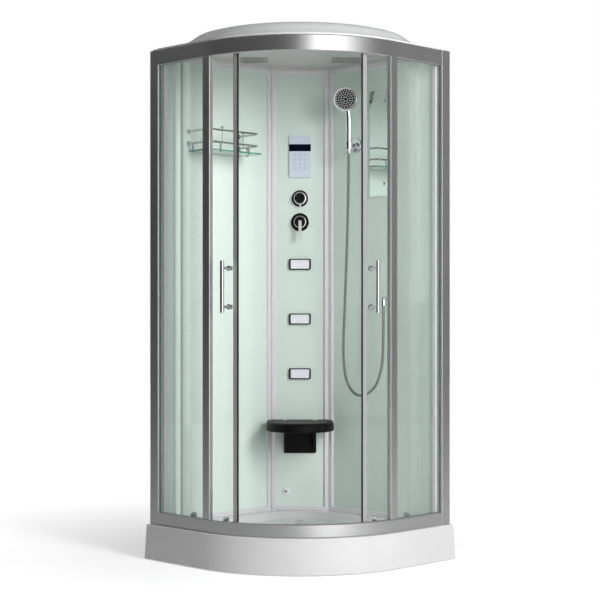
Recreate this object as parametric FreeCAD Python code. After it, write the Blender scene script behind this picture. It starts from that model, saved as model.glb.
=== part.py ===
import FreeCAD, Part
import math
import os

# Corner steam shower cabin, quadrant plan.  Millimetres, +Z up.  The origin is the middle of
# the tray's 900 x 900 square, on the floor.  The room corner is at (-450, +450), the curved
# doors face (+1, -1).  The doors stand open, slid behind the fixed glass.
# Left-hand pieces are drawn along the axes and mirrored across the cabin's diagonal.
# Pieces on the diagonal column are drawn in (u, d): u to the right, d away from the door.

V = FreeCAD.Vector

# ---- overall ----
SIDE = 900.0                      # tray square
HALF = SIDE / 2
ARC_R = 550.0                     # tray's front radius
ARC_X = ARC_R - HALF              # arc centre is at (-ARC_X, +ARC_X)
TRAY_TOP = 143.0
RAIL_TOP = 2080.0                 # top of the aluminium frame
FIT = 0.3                         # gap round glass in its grooves and between loose pieces
RUN = 0.06                        # radial running clearance on pins and axles
SEAT_GAP = 0.2                    # gap between curved faces that seat together

# ---- tray ----
SKIRT_Z = 3.0
SKIRT_DRAFT = 6.0
SHELL = 5.0
BASIN_FLOOR = 115.0
RIM = 120.0                       # from the tray's edge to the basin
BASIN_SIDE = HALF - RIM
BASIN_R = ARC_R - RIM
BASIN_SLOPE = 18.0
BASIN_CORNER = 70.0
BASIN_BACK = 200.0
DRAIN_D = 230.0
DRAIN_HOLE_R = 42.3
RIM_ROUND = 5.0

# ---- frame under the tray ----
TUBE = 25.0
TUBE_WALL = 2.0
TUBE_BACK = DRAIN_D * math.sqrt(0.5) + 97.4
TUBE_FRONT = -40.0
TUBE_REACH = HALF - 50
FOOT_REACH = HALF - 70
FOOT_R = 25.0
FOOT_H = 8.0
STEM_R = 6.0
NUT_AF = 19.0
NUT_H = 10.0

# ---- front frame ----
FRAME_SETBACK = 23.0
FRAME_R = ARC_R - FRAME_SETBACK     # outer face of the rails
RAIL_W = 18.0
RAIL_WALL = 2.0
RAIL_ROUND = 3.0
BOTTOM_RAIL_H = 51.5
TOP_RAIL_H = 63.0
GROOVE = 6.0                      # depth of the glass grooves
POST_W = 51.0
POST_DEPTH = 30.0
POST_OUT = HALF - 6
MULLION_W = 41.0
MULLION_PAST = 19.0
MULLION_OUT = ARC_X + MULLION_PAST
MULLION_DEPTH = 18.5
GLASS = 6.0
FRONT_Y = ARC_X - FRAME_R           # outer face of the straight part of the left front
FRONT_GLASS_Y = FRONT_Y + 12        # mid-plane of the fixed front glass

# ---- doors ----
DOOR_R = FRAME_R - 27               # inner face of the curved glass
DOOR_OUT = DOOR_R + GLASS
DOOR_Z0 = TRAY_TOP + 9
DOOR_Z1 = RAIL_TOP - 12
DOOR_LEAD = 28.54                   # degrees from the middle to the leading edge, open
DOOR_WALL_GAP = 33.5                # from the trailing edge to the wall frame, open
SEAL_DEG = 0.56
EDGE_DEG = 1.8
EDGE_GRIP = 1.2
WHEEL_R = 11.0
WHEEL_IN = DOOR_R - 12
WHEEL_OUT = DOOR_R - 3
WHEEL_DEG = (36.0, 60.2)
AXLE_R = 3.0
PLUG_HOLE_R = 5.0
SHOE_H = 24.0

# ---- door tracks ----
TRACK_HALF = 63.0                   # degrees each side of the middle
TRACK_IN = FRAME_R - 49
TRACK_LIP = 3.0
TRACK_LEDGE = 16.0
TRACK_OUT = FRAME_R - RAIL_W - SEAT_GAP
TRACK_H = 50.0
TRACK_PLATE = 5.0
LOW_TRACK_H = 40.0
LOW_PLATE = 4.0

# ---- handles ----
HANDLE_DEG = 33.4
HANDLE_REACH = 44.0
HANDLE_R = DOOR_OUT + HANDLE_REACH
BAR_R = 8.0
BAR_Z = (1007.0, 1212.0)
HANDLE_POST_Z = (BAR_Z[0] + 25, BAR_Z[1] - 29.6)
HANDLE_POST_R = 6.0
ROSETTE_R = 10.0

# ---- walls and column ----
WALL_IN = HALF - 62                 # inner face of the wall frames
WALL_T = 26.0
WALL_FACE = 18.0
WALL_FOOT = 19.0
WALL_HEAD = 31.0
WALL_FRONT = FRONT_Y + POST_DEPTH
WALL_GLASS = WALL_IN + WALL_T / 2   # mid-plane of the wall glass
COL_HALF = 125.0
CORNER_STEP = 0.86                  # the column's edge stands this far in front of the walls
COL_IN = (WALL_IN - CORNER_STEP) * math.sqrt(2) - COL_HALF
WALL_BACK = (COL_IN - COL_HALF) * math.sqrt(0.5) - 1.4
COL_GLASS = COL_IN + 12.5           # mid-plane of the column glass
COL_FACE = COL_GLASS - GLASS / 2  # the side of the column glass towards the cabin
COL_REAR = COL_GLASS + GLASS / 2

# ---- roof ----
CEIL_T = 4.0
CEIL_INSET = 24.0
LIP_Z = RAIL_TOP - 13
LIP_T = 4.0
DOME_T = 4.0
FLANGE_INSET = 30.0
# height above the ceiling, inset from the tray square, straight left beside each round corner
DOME = ((0, 52, 148), (11, 60, 130), (23, 75, 100), (38, 90, 80), (52, 107, 63), (63, 133, 42),
        (68, 165, 20))
GRILLE_SIZE = 120.0
GRILLE_GAP = 18.7                 # from a grille's corner to the wall, along u
GRILLE_D = COL_IN - 207.5
GRILLE_U = WALL_IN * math.sqrt(2) - GRILLE_D - GRILLE_SIZE - GRILLE_GAP
GRILLE_T = 4.0

# ---- seat ----
SEAT_W = 290.0
SEAT_LENGTH = 280.0
SEAT_BACK = COL_FACE - 27
SEAT_FRONT = SEAT_BACK - SEAT_LENGTH
SEAT_TOP = 543.0
SEAT_T = 39.0
SEAT_CORNER = 40.0
SEAT_PIN_D = COL_FACE - 56
SEAT_PIN_Z = SEAT_TOP - 30
SEAT_PIN_R = 6.0
CHEEK_U = 63.5
CHEEK_T = 11.0
CHEEK_R = 14.0
BRACKET_W = 142.0
BRACKET_Z0 = SEAT_TOP - 150
BRACKET_T = 6.0

# ---- column fittings: heights above the floor ----
PANEL_Z = RAIL_TOP - 388
PANEL_W = 95.0
PANEL_H = 184.0
PANEL_T = 8.0
DISPLAY_Z = (PANEL_Z + 23, PANEL_Z + 54)
DISPLAY_T = 2.0
DIVERTER_Z = PANEL_Z - 184
MIXER_Z = DIVERTER_Z - 104
SPINDLE_R = 5.0
ROSETTE_T = 4.0
KNOB_R = 27.5
KNOB_L = 26.0
MIXER_ROSETTE_R = 41.0
DIVERTER_ROSETTE_R = 37.5
MIXER_CAP_R = 26.5
MIXER_CAP_L = 30.0
LEVER_W = 12.6
LEVER_DROP = 74.0
LEVER_T = 8.0
LEVER_HUB_R = 8.0
LEVER_PIN_R = 2.0
JET_TOP = MIXER_Z - 184
JET_LOW = SEAT_TOP + 198
JET_Z = (JET_TOP, (JET_TOP + JET_LOW) / 2, JET_LOW)
JET_W = 95.0
JET_H = 47.0
JET_T = 12.0
JET_PLATE_W = 81.0
JET_PLATE_H = 38.0
JET_PLATE_T = 5.0
JET_GAP = 0.7
JET_PIVOT = 7.2                   # trunnion in front of the column glass
JET_PIN_R = 2.0
JET_BODY_R = 20.0
STEAM_U = -64.0
STEAM_Z = 224.0
STEAM_R = 17.0

# ---- shelf, mirror ----
SHELF_Y = (-268.0, 32.0)
SHELF_DEPTH = 137.0
SHELF_Z = RAIL_TOP - 404
SHELF_OFF = 5.0
LOOP_Z = (SHELF_Z + 87, SHELF_Z + 36)
LOOP_X = -WALL_IN + 124
LOOP_ROD = 4.0
LOOP_ROUND = 28.0
MIRROR_X = (26.0, 178.0)
MIRROR_Z = (RAIL_TOP - 577, RAIL_TOP - 129)
MIRROR_T = 4.0
MIRROR_CAP_Z = (MIRROR_Z[0] + 52, MIRROR_Z[1] - 48)

# ---- hand shower ----
HOLDER_X = -52.0
HOLDER_Z = RAIL_TOP - 352
HOLDER_ROSETTE_R = 31.0
CUP_X = -46.0
CUP_Y = WALL_IN - 48
CUP_Z = HOLDER_Z - 6
CUP_BORE = 11.5
CUP_R = 16.0
CUP_H = 26.0
NUT_DROP = 31.7                   # from the cup's middle down to the end of the hose nut
HEAD_R = 52.0
ELBOW_X = 144.0
ELBOW_Z = 1065.0
ELBOW_Y = WALL_IN - 38
HOSE_R = 6.0
# centre line of the hose from the elbow to the handset's nut
HOSE = ((144, 350, 1038), (144, 350, 960), (143, 350, 880), (140, 349, 800), (127, 348, 745),
        (108, 347, 705), (78, 346, 676), (45, 345.5, 660), (8, 345, 655), (-22, 344, 666),
        (-47, 343, 692), (-66, 342, 730), (-75, 341, 785), (-78, 340, 855), (-74, 339, 930),
        (-68, 339, 1030), (-61, 339, 1170), (-54, 339, 1320), (-49, 339, 1460), (-46, 339.5, 1590),
        (-46, 340, 1690))

# ---- plumbing behind the column ----
MANIFOLD_D = COL_REAR + 32
BODY_R = 22.0
INLET_R = 10.5
INLET_U = 45.0
INLET_END = MANIFOLD_D + 50
SPIGOT = 35.0                     # bare length beyond the collar, for the hose
BOILER_W = 180.0
BOILER_GAP = 7.0
BOILER_D0 = COL_REAR + BOILER_GAP
BOILER_T = 92.0
BOILER_Z0 = 200.0
BOILER_H = 320.0
WASTE_R = 20.0


# ======== small helpers ========

def box(x0, x1, y0, y1, z0, z1):
    """Box between two corners."""
    return Part.makeBox(x1 - x0, y1 - y0, z1 - z0, V(x0, y0, z0))


def rod(r, start, end):
    """Round bar from one point to another."""
    axis = V(*end) - V(*start)
    return Part.makeCylinder(r, axis.Length, V(*start), axis)


def tube(r_out, r_in, start, end):
    """Round tube from one point to another."""
    return rod(r_out, start, end).cut(rod(r_in, start, end))


def polar(r, deg):
    """Point at radius r about the arc centre; deg counts from the door's middle to the right."""
    a = math.radians(deg - 45)
    return V(-ARC_X + r * math.cos(a), ARC_X + r * math.sin(a), 0)


def radial_rod(r, r0, r1, deg, z):
    """Round bar along a radius of the arc, from r0 to r1."""
    p = polar(r0, deg)
    q = polar(r1, deg)
    return rod(r, (p.x, p.y, z), (q.x, q.y, z))


def sector(r0, r1, z0, z1, deg0, deg1):
    """Part of a ring about the arc centre."""
    centre = V(-ARC_X, ARC_X, z0)
    span = deg1 - deg0
    outer = Part.makeCylinder(r1, z1 - z0, centre, V(0, 0, 1), span)
    inner = Part.makeCylinder(r0, z1 - z0, centre, V(0, 0, 1), span)
    ring = outer.cut(inner)
    ring.rotate(centre, V(0, 0, 1), deg0 - 45)
    return ring


def diagonal(shape):
    """Turn a shape drawn in (u, d, z) on to the cabin's diagonal."""
    turned = shape.copy()
    turned.rotate(V(0, 0, 0), V(0, 0, 1), 45)
    return turned


def other_side(shape):
    """Mirror a left-hand shape to the right."""
    return shape.mirror(V(0, 0, 0), V(1, 1, 0))


def prism(points, direction):
    """Straight prism on a closed outline of points."""
    corners = [V(*p) for p in points]
    outline = Part.makePolygon(corners + corners[:1])
    return Part.Face(outline).extrude(V(*direction))


def loft(wires):
    """Solid with straight sides through closed outlines."""
    return Part.makeLoft(wires, True, True)


def rounded_box(x0, x1, y0, y1, z0, z1, r, axis):
    """Box whose four edges along the named axis are rounded."""
    solid = box(x0, x1, y0, y1, z0, z1)
    edges = [e for e in solid.Edges if abs(getattr(e.tangentAt(e.FirstParameter), axis)) > 0.99]
    return solid.makeFillet(r, edges)


def fuse(pieces):
    """One solid from pieces that share faces or run into each other."""
    whole = pieces[0]
    for piece in pieces[1:]:
        whole = whole.fuse(piece)
    return whole.removeSplitter()


def cut(body, tools):
    """Take each tool away from the body."""
    for tool in tools:
        body = body.cut(tool)
    return body


def save(name, solids):
    """Write one node: a solid, or a group of separate solids."""
    group = []
    for solid in solids if isinstance(solids, (list, tuple)) else [solids]:
        group += solid.Solids
    shape = group[0] if len(group) == 1 else Part.makeCompound(group)
    if not shape.isValid():
        print("not valid:", name)
    shape.exportStep("parts/" + name + ".step")


def quadrant(inset, z, corner=0.0):
    """Closed outline of the tray's plan, moved in by the inset, with rounded square corners."""
    h = HALF - inset
    r = ARC_R - inset
    c = corner
    k = c * (1 - math.sqrt(0.5))
    mid = polar(r, 0)
    front_l = V(-ARC_X, ARC_X - r, z)
    front_r = V(-ARC_X + r, ARC_X, z)
    if c == 0:
        line = Part.makePolygon([front_r, V(h, h, z), V(-h, h, z), V(-h, -h, z), front_l])
        arc = Part.Arc(front_l, V(mid.x, mid.y, z), front_r).toShape()
        return Part.Wire(line.Edges + [arc])
    edges = [
        Part.Arc(front_l, V(mid.x, mid.y, z), front_r).toShape(),
        Part.makeLine(front_r, V(h, h - c, z)),
        Part.Arc(V(h, h - c, z), V(h - k, h - k, z), V(h - c, h, z)).toShape(),
        Part.makeLine(V(h - c, h, z), V(-h + c, h, z)),
        Part.Arc(V(-h + c, h, z), V(-h + k, h - k, z), V(-h, h - c, z)).toShape(),
        Part.makeLine(V(-h, h - c, z), V(-h, -h + c, z)),
        Part.Arc(V(-h, -h + c, z), V(-h + k, -h + k, z), V(-h + c, -h, z)).toShape(),
        Part.makeLine(V(-h + c, -h, z), front_l)]
    return Part.Wire(edges)


def basin_outline(grow, z):
    """Closed outline of the basin, grown by an amount, with all three corners rounded."""
    side = BASIN_SIDE + grow
    r = BASIN_R + grow
    c = BASIN_CORNER + grow
    b = BASIN_BACK + grow
    # the front corner's arc touches the straight side and the round front
    cx = -side + c
    cy = ARC_X - math.sqrt((r - c) ** 2 - (cx + ARC_X) ** 2)
    out = V(cx + ARC_X, cy - ARC_X, 0).normalize()
    on_side = V(-side, cy, z)
    on_front = V(-ARC_X + r * out.x, ARC_X + r * out.y, z)
    half_way = (out + V(-1, 0, 0)).normalize()
    corner_mid = V(cx + c * half_way.x, cy + c * half_way.y, z)
    front_mid = polar(r, 0) + V(0, 0, z)
    k = b * (1 - math.sqrt(0.5))
    left = V(-side, side - b, z)
    back_mid = V(-side + k, side - k, z)

    def flip(p):
        return V(-p.y, -p.x, p.z)

    return Part.Wire([
        Part.makeLine(left, on_side),
        Part.Arc(on_side, corner_mid, on_front).toShape(),
        Part.Arc(on_front, front_mid, flip(on_front)).toShape(),
        Part.Arc(flip(on_front), flip(corner_mid), flip(on_side)).toShape(),
        Part.makeLine(flip(on_side), flip(left)),
        Part.Arc(flip(left), back_mid, left).toShape()])


DRAIN = (-DRAIN_D * math.sqrt(0.5), DRAIN_D * math.sqrt(0.5))
SHELL_FLOOR = BASIN_FLOOR - SHELL          # underside of the basin
RAIL_IN = FRAME_R - RAIL_W                 # inner face of the rails
BOTTOM_RAIL_TOP = TRAY_TOP + BOTTOM_RAIL_H
TOP_RAIL_Z = RAIL_TOP - TOP_RAIL_H
POST_X = -POST_OUT + POST_W                # post's edge beside the fixed glass
DOOR_TRAIL = 45 + math.degrees(math.asin((WALL_IN - DOOR_WALL_GAP - ARC_X) / DOOR_OUT))


# ======== tray and what stands under it ========

def shower_tray():
    """White acrylic tray: drafted skirt, flat rim, sloped basin, drain hole, open underside."""
    skin = loft([quadrant(0, SKIRT_Z), quadrant(SKIRT_DRAFT, TRAY_TOP)])
    rim = [e for e in skin.Edges if e.BoundBox.ZMin > TRAY_TOP - 0.1]
    skin = skin.makeFillet(RIM_ROUND, rim)
    under = loft([quadrant(SHELL, SKIRT_Z), quadrant(SHELL + SKIRT_DRAFT, TRAY_TOP - SHELL)])
    bowl = loft([basin_outline(-BASIN_SLOPE, BASIN_FLOOR), basin_outline(0, TRAY_TOP + 1)])
    bowl_skin = loft([basin_outline(SHELL - BASIN_SLOPE, SHELL_FLOOR), basin_outline(SHELL, TRAY_TOP)])
    drain = rod(DRAIN_HOLE_R, (*DRAIN, SHELL_FLOOR - 1), (*DRAIN, TRAY_TOP))
    return cut(skin, [under.cut(bowl_skin), bowl, drain])


def foot_places():
    """Where the six feet stand, in plan."""
    return ((-TUBE_BACK, TUBE_BACK), (-TUBE_FRONT, TUBE_FRONT), (FOOT_REACH, TUBE_BACK),
            (-TUBE_BACK, -FOOT_REACH), (FOOT_REACH, TUBE_FRONT), (-TUBE_FRONT, -FOOT_REACH))


def tray_frame():
    """Welded square tubes that carry the basin's floor, with a hole over each foot."""
    z1 = SHELL_FLOOR
    z0 = z1 - TUBE
    h = TUBE / 2
    g = h - TUBE_WALL
    outside = []
    inside = []
    for at in (TUBE_BACK, TUBE_FRONT):
        outside.append(box(-TUBE_REACH, TUBE_REACH, at - h, at + h, z0, z1))
        inside.append(box(-TUBE_REACH, TUBE_REACH, at - g, at + g, z0 + TUBE_WALL, z1 - TUBE_WALL))
    outside += [other_side(t) for t in outside]
    inside += [other_side(t) for t in inside]
    frame = cut(fuse(outside), [fuse(inside)])
    holes = [rod(STEM_R + SEAT_GAP, (x, y, z0 - 1), (x, y, z0 + TUBE_WALL + 1))
             for x, y in foot_places()]
    return cut(frame, holes)


def leveling_feet():
    """Six screw feet, each with its lock nut under the tube."""
    z1 = SHELL_FLOOR - TUBE
    feet = []
    for x, y in foot_places():
        pad = Part.makeCone(FOOT_R, FOOT_R - 4, FOOT_H, V(x, y, 0))
        stem = rod(STEM_R, (x, y, FOOT_H), (x, y, z1 + TUBE_WALL + 8))
        corner = NUT_AF / math.sqrt(3)
        hexagon = [(x + corner * math.cos(math.radians(60 * i)),
                    y + corner * math.sin(math.radians(60 * i)), z1 - NUT_H) for i in range(6)]
        nut = prism(hexagon, (0, 0, NUT_H)).cut(rod(STEM_R, (x, y, z1 - NUT_H), (x, y, z1)))
        feet += [fuse([pad, stem]), nut]
    return feet


FLANGE_R = 54.0
BODY_BORE = 39.0
WASTE_Z0 = 20.0
FUNNEL_Z = 84.0
WASTE_WALL = 3.0
COVER_R = 50.0
COVER_T = 3.0
COVER_PLUG_H = 8.0


def waste_body():
    """Drain body through the tray's floor, funnelled to its spigot, and the nut below."""
    top = BASIN_FLOOR + 2
    z_neck = FUNNEL_Z - 24
    outer_r = BODY_BORE + WASTE_WALL
    at = V(*DRAIN, 0)

    def profile(grow, z_low, z_high, flange):
        pts = [(0, z_low), (WASTE_R - WASTE_WALL + grow, z_low), (WASTE_R - WASTE_WALL + grow, z_neck),
               (BODY_BORE + grow, FUNNEL_Z), (BODY_BORE + grow, z_high)]
        if flange:
            pts[4:] = [(BODY_BORE + grow, BASIN_FLOOR), (FLANGE_R, BASIN_FLOOR), (FLANGE_R, z_high)]
        pts.append((0, z_high))
        face = Part.Face(Part.makePolygon([V(r, 0, z) for r, z in pts + pts[:1]]))
        return face.revolve(V(0, 0, 0), V(0, 0, 1), 360)

    body = profile(WASTE_WALL, WASTE_Z0, top, True).cut(profile(0, WASTE_Z0 - 1, top + 1, False))
    nut = tube(FLANGE_R, outer_r + SEAT_GAP, (0, 0, SHELL_FLOOR - 12), (0, 0, SHELL_FLOOR))
    for solid in (body, nut):
        solid.translate(at)
    return [body, nut]


def drain_cover():
    """Lift-out drain cover with a shallow crown and a plug that drops into the waste body."""
    z0 = BASIN_FLOOR + 2
    plug_r = BODY_BORE - 0.4
    disc = rod(COVER_R, (0, 0, z0), (0, 0, z0 + COVER_T))
    edge = [e for e in disc.Edges if e.BoundBox.ZMin > z0 + COVER_T - 0.1]
    disc = disc.makeFillet(COVER_T - 0.6, edge)
    plug = tube(plug_r, plug_r - 3, (0, 0, z0 - COVER_PLUG_H), (0, 0, z0))
    ports = [box(-COVER_R, COVER_R, -7, 7, z0 - COVER_PLUG_H - 1, z0 - 1.5) for i in range(2)]
    ports[1].rotate(V(0, 0, 0), V(0, 0, 1), 90)
    cover = cut(fuse([disc, plug]), ports)
    cover.translate(V(*DRAIN, 0))
    return cover


# ======== aluminium front frame and its fixed glass ========

def swept_rail(profile, reach):
    """Rail of one profile in (r, z): a quarter round with a straight run at each end."""
    face = Part.Face(Part.makePolygon([V(r, 0, z) for r, z in profile + profile[:1]]))
    round_part = face.copy()
    round_part.translate(V(-ARC_X, ARC_X, 0))
    round_part.rotate(V(-ARC_X, ARC_X, 0), V(0, 0, 1), -90)
    straight = round_part.extrude(V(-reach, 0, 0))
    arc = round_part.revolve(V(-ARC_X, ARC_X, 0), V(0, 0, 1), 90)
    return fuse([straight, arc, other_side(straight)])


def rail(z0, z1):
    """Hollow aluminium rail with a chamfered outer edge, between the two end posts."""
    r0 = RAIL_IN
    r1 = FRAME_R
    c = RAIL_ROUND
    w = RAIL_WALL
    low = z0 + w + (GROOVE + w if z0 > TRAY_TOP else 0)
    high = z1 - w - (0 if z0 > TRAY_TOP else GROOVE + w)
    skin = [(r0, z0), (r1 - c, z0), (r1, z0 + c), (r1, z1 - c), (r1 - c, z1), (r0, z1)]
    hollow = [(r0 + w, low), (r1 - w, low), (r1 - w, high), (r0 + w, high)]
    reach = -ARC_X - POST_X
    body = swept_rail(skin, reach).cut(swept_rail(hollow, reach))
    slot = GLASS / 2 + FIT
    z = z1 - GROOVE if z0 == TRAY_TOP else z0
    groove = box(POST_X, -MULLION_OUT + GROOVE, FRONT_GLASS_Y - slot, FRONT_GLASS_Y + slot,
                 z, z + GROOVE)
    return cut(body, [groove, other_side(groove)])


def end_post():
    """Left end post: hollow, open at both ends, slotted for the fixed glass."""
    x0 = -POST_OUT
    y1 = FRONT_Y + POST_DEPTH
    w = RAIL_WALL
    slot = GLASS / 2 + FIT
    body = rounded_box(x0, POST_X, FRONT_Y, y1, TRAY_TOP, RAIL_TOP, RAIL_ROUND, "z")
    body = body.fuse(box(x0 + 4, POST_X, y1 - 4, y1, TRAY_TOP, RAIL_TOP)).removeSplitter()
    hollow = box(x0 + w, POST_X - GROOVE - w, FRONT_Y + w, y1 - w, TRAY_TOP - 1, RAIL_TOP + 1)
    groove = box(POST_X - GROOVE, POST_X + 1, FRONT_GLASS_Y - slot, FRONT_GLASS_Y + slot,
                 BOTTOM_RAIL_TOP - GROOVE, TOP_RAIL_Z + GROOVE)
    return cut(body, [hollow, groove])


def mullion():
    """Left upright where the fixed glass ends and the round front begins."""
    x0 = -MULLION_OUT
    x1 = x0 + MULLION_W
    y1 = FRONT_Y + MULLION_DEPTH
    w = RAIL_WALL
    slot = GLASS / 2 + FIT
    body = rounded_box(x0, x1, FRONT_Y, y1, BOTTOM_RAIL_TOP, TOP_RAIL_Z, RAIL_ROUND, "z")
    body = body.fuse(box(x0, x1, y1 - 4, y1, BOTTOM_RAIL_TOP, TOP_RAIL_Z)).removeSplitter()
    hollow = box(x0 + GROOVE + w, x1 - w, FRONT_Y + w, y1 - w, BOTTOM_RAIL_TOP - 1, TOP_RAIL_Z + 1)
    groove = box(x0 - 1, x0 + GROOVE, FRONT_GLASS_Y - slot, FRONT_GLASS_Y + slot,
                 BOTTOM_RAIL_TOP - 1, TOP_RAIL_Z + 1)
    return cut(body, [hollow, groove])


def fixed_glass():
    """Left fixed pane in the grooves of both rails, the end post and the mullion."""
    g = GROOVE - FIT
    h = GLASS / 2
    return box(POST_X - g, -MULLION_OUT + g, FRONT_GLASS_Y - h, FRONT_GLASS_Y + h,
               BOTTOM_RAIL_TOP - g, TOP_RAIL_Z + g)


def roller_tracks():
    """Upper and lower curved tracks inside the rails: plate, inner wall and ledge."""
    a = TRACK_HALF
    r0 = TRACK_IN
    lip = TRACK_LIP
    top = RAIL_TOP
    ledge = r0 + lip + TRACK_LEDGE
    upper = fuse([
        sector(r0, TRACK_OUT, top - TRACK_PLATE, top, -a, a),
        sector(r0, r0 + lip, top - TRACK_H, top - TRACK_PLATE, -a, a),
        sector(r0 + lip, ledge, top - TRACK_H, top - TRACK_H + lip, -a, a)])
    z0 = TRAY_TOP
    lower = fuse([
        sector(r0, TRACK_OUT, z0, z0 + LOW_PLATE, -a, a),
        sector(r0, r0 + lip, z0 + LOW_PLATE, z0 + LOW_TRACK_H, -a, a),
        sector(r0 + lip, ledge, z0 + LOW_TRACK_H - lip, z0 + LOW_TRACK_H, -a, a)])
    return [upper, lower]


# ======== doors: right-hand pieces, mirrored for the left ========

def door_glass():
    """Curved pane, drilled for two hangers, two guide shoes and the handle."""
    glass = sector(DOOR_R, DOOR_OUT, DOOR_Z0, DOOR_Z1, DOOR_LEAD + SEAL_DEG, DOOR_TRAIL)
    wheel_z = wheel_centre()
    shoe_z = shoe_centre()
    places = [(deg, z) for deg in WHEEL_DEG for z in (wheel_z, shoe_z)]
    places += [(HANDLE_DEG, z) for z in HANDLE_POST_Z]
    holes = [radial_rod(PLUG_HOLE_R, DOOR_R - 4, DOOR_OUT + 4, deg, z) for deg, z in places]
    return cut(glass, holes)


def wheel_centre():
    """Height of the wheels' axles: the wheels run on the upper ledge."""
    return RAIL_TOP - TRACK_H + TRACK_LIP + FIT + WHEEL_R


def shoe_centre():
    """Height of the middle of the guide shoes, which ride over the lower ledge."""
    return TRAY_TOP + LOW_TRACK_H + FIT + SHOE_H / 2


def door_edge():
    """Chrome profile that grips the leading edge of the glass on both faces."""
    lead = DOOR_LEAD + SEAL_DEG
    g = EDGE_GRIP
    skin = sector(DOOR_R - g - SEAT_GAP, DOOR_OUT + g + SEAT_GAP, DOOR_Z0, DOOR_Z1, lead - 0.12,
                  lead + EDGE_DEG)
    room = sector(DOOR_R - SEAT_GAP, DOOR_OUT + SEAT_GAP, DOOR_Z0 - 1, DOOR_Z1 + 1, lead,
                  lead + EDGE_DEG + 1)
    return skin.cut(room)


def door_seal():
    """Dark magnetic strip along the leading edge, seated on the chrome profile."""
    return sector(DOOR_R - 1, DOOR_OUT + 1, DOOR_Z0, DOOR_Z1, DOOR_LEAD, DOOR_LEAD + SEAL_DEG - 0.12)


def door_hangers():
    """Wheel axles with collar and plug in the glass, and the guide shoes below."""
    pieces = []
    for deg in WHEEL_DEG:
        z = wheel_centre()
        pieces.append(fuse([
            radial_rod(5.0, WHEEL_IN - 3.3, WHEEL_IN - FIT, deg, z),
            radial_rod(AXLE_R, WHEEL_IN - FIT, WHEEL_OUT + FIT, deg, z),
            radial_rod(8.0, WHEEL_OUT + FIT, DOOR_R - 0.15, deg, z),
            radial_rod(PLUG_HOLE_R - 0.1, DOOR_R - 0.15, DOOR_OUT, deg, z)]))
        z = shoe_centre()
        shoe = rounded_box(-9, 9, -6, 6, z - SHOE_H / 2, z + SHOE_H / 2, 4.0, "y")
        mid = polar((2 * DOOR_R - 18) / 2, deg)
        shoe.rotate(V(0, 0, 0), V(0, 0, 1), deg + 45)
        shoe.translate(mid)
        pieces.append(fuse([
            shoe,
            radial_rod(7.0, DOOR_R - 5, DOOR_R - 0.15, deg, z),
            radial_rod(PLUG_HOLE_R - 0.1, DOOR_R - 0.15, DOOR_OUT, deg, z)]))
    return pieces


def top_wheel(deg):
    """Grooved door wheel, bored for its axle."""
    z = wheel_centre()
    mid = (WHEEL_IN + WHEEL_OUT) / 2
    whole = radial_rod(WHEEL_R, WHEEL_IN, WHEEL_OUT, deg, z)
    rim = [e for e in whole.Edges if e.Length > 10 and len(e.Vertexes) == 1]
    whole = whole.makeFillet(1.2, rim)
    groove = radial_rod(WHEEL_R + 1, mid - 1.5, mid + 1.5, deg, z)
    groove = groove.cut(radial_rod(WHEEL_R - 1.5, mid - 2, mid + 2, deg, z))
    bore = radial_rod(AXLE_R + RUN, WHEEL_IN - 1, WHEEL_OUT + 1, deg, z)
    return cut(whole, [groove, bore])


def handle():
    """Bar handle on two posts, with a rosette outside and a cap inside at each post."""
    p = polar(HANDLE_R, HANDLE_DEG)
    bar = rod(BAR_R, (p.x, p.y, BAR_Z[0]), (p.x, p.y, BAR_Z[1]))
    rims = [e for e in bar.Edges if len(e.Vertexes) == 1]
    pieces = [bar.makeFillet(2.0, rims)]
    for z in HANDLE_POST_Z:
        pieces.append(radial_rod(HANDLE_POST_R, DOOR_OUT + 2, HANDLE_R, HANDLE_DEG, z))
        pieces.append(radial_rod(ROSETTE_R, DOOR_OUT + SEAT_GAP, DOOR_OUT + 4, HANDLE_DEG, z))
        pieces.append(radial_rod(PLUG_HOLE_R - 0.1, DOOR_R - 2, DOOR_OUT + 2, HANDLE_DEG, z))
        pieces.append(radial_rod(ROSETTE_R, DOOR_R - 8, DOOR_R - SEAT_GAP - 0.1, HANDLE_DEG, z))
    return fuse(pieces)


# ======== walls and column ========

def panel_frame(u0, u1, d0, d1, mid, foot, head, face):
    """Four frame members round a pane: two uprights, a foot rail and a head rail."""
    z0 = TRAY_TOP
    z1 = RAIL_TOP
    h = GLASS / 2 + FIT
    uprights = [rounded_box(u0, u0 + face, d0, d1, z0, z1, 1.5, "z"),
                rounded_box(u1 - face, u1, d0, d1, z0, z1, 1.5, "z")]
    rails = [rounded_box(u0 + face, u1 - face, d0, d1, z0, z0 + foot, 1.5, "x"),
             rounded_box(u0 + face, u1 - face, d0, d1, z1 - head, z1, 1.5, "x")]
    room = box(u0 + face - GROOVE, u1 - face + GROOVE, mid - h, mid + h,
               z0 + foot - GROOVE, z1 - head + GROOVE)
    return [member.cut(room) for member in uprights + rails]


def panel_glass(u0, u1, mid, foot, head, face):
    """Pane in the grooves of its frame."""
    g = GROOVE - FIT
    return box(u0 + face - g, u1 - face + g, mid - GLASS / 2, mid + GLASS / 2,
               TRAY_TOP + foot - g, RAIL_TOP - head + g)


def along_left_wall(shape):
    """Turn a shape drawn with x along the wall and y outwards on to the left wall."""
    turned = shape.copy()
    turned.rotate(V(0, 0, 0), V(0, 0, 1), 90)
    return turned


def wall_frame():
    """Frame of the left wall."""
    members = panel_frame(WALL_FRONT, WALL_BACK, WALL_IN, WALL_IN + WALL_T, WALL_GLASS, WALL_FOOT,
                          WALL_HEAD, WALL_FACE)
    return [along_left_wall(m) for m in members]


def wall_glass():
    """Frosted pane of the left wall."""
    return along_left_wall(panel_glass(WALL_FRONT, WALL_BACK, WALL_GLASS, WALL_FOOT, WALL_HEAD,
                                       WALL_FACE))


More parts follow.
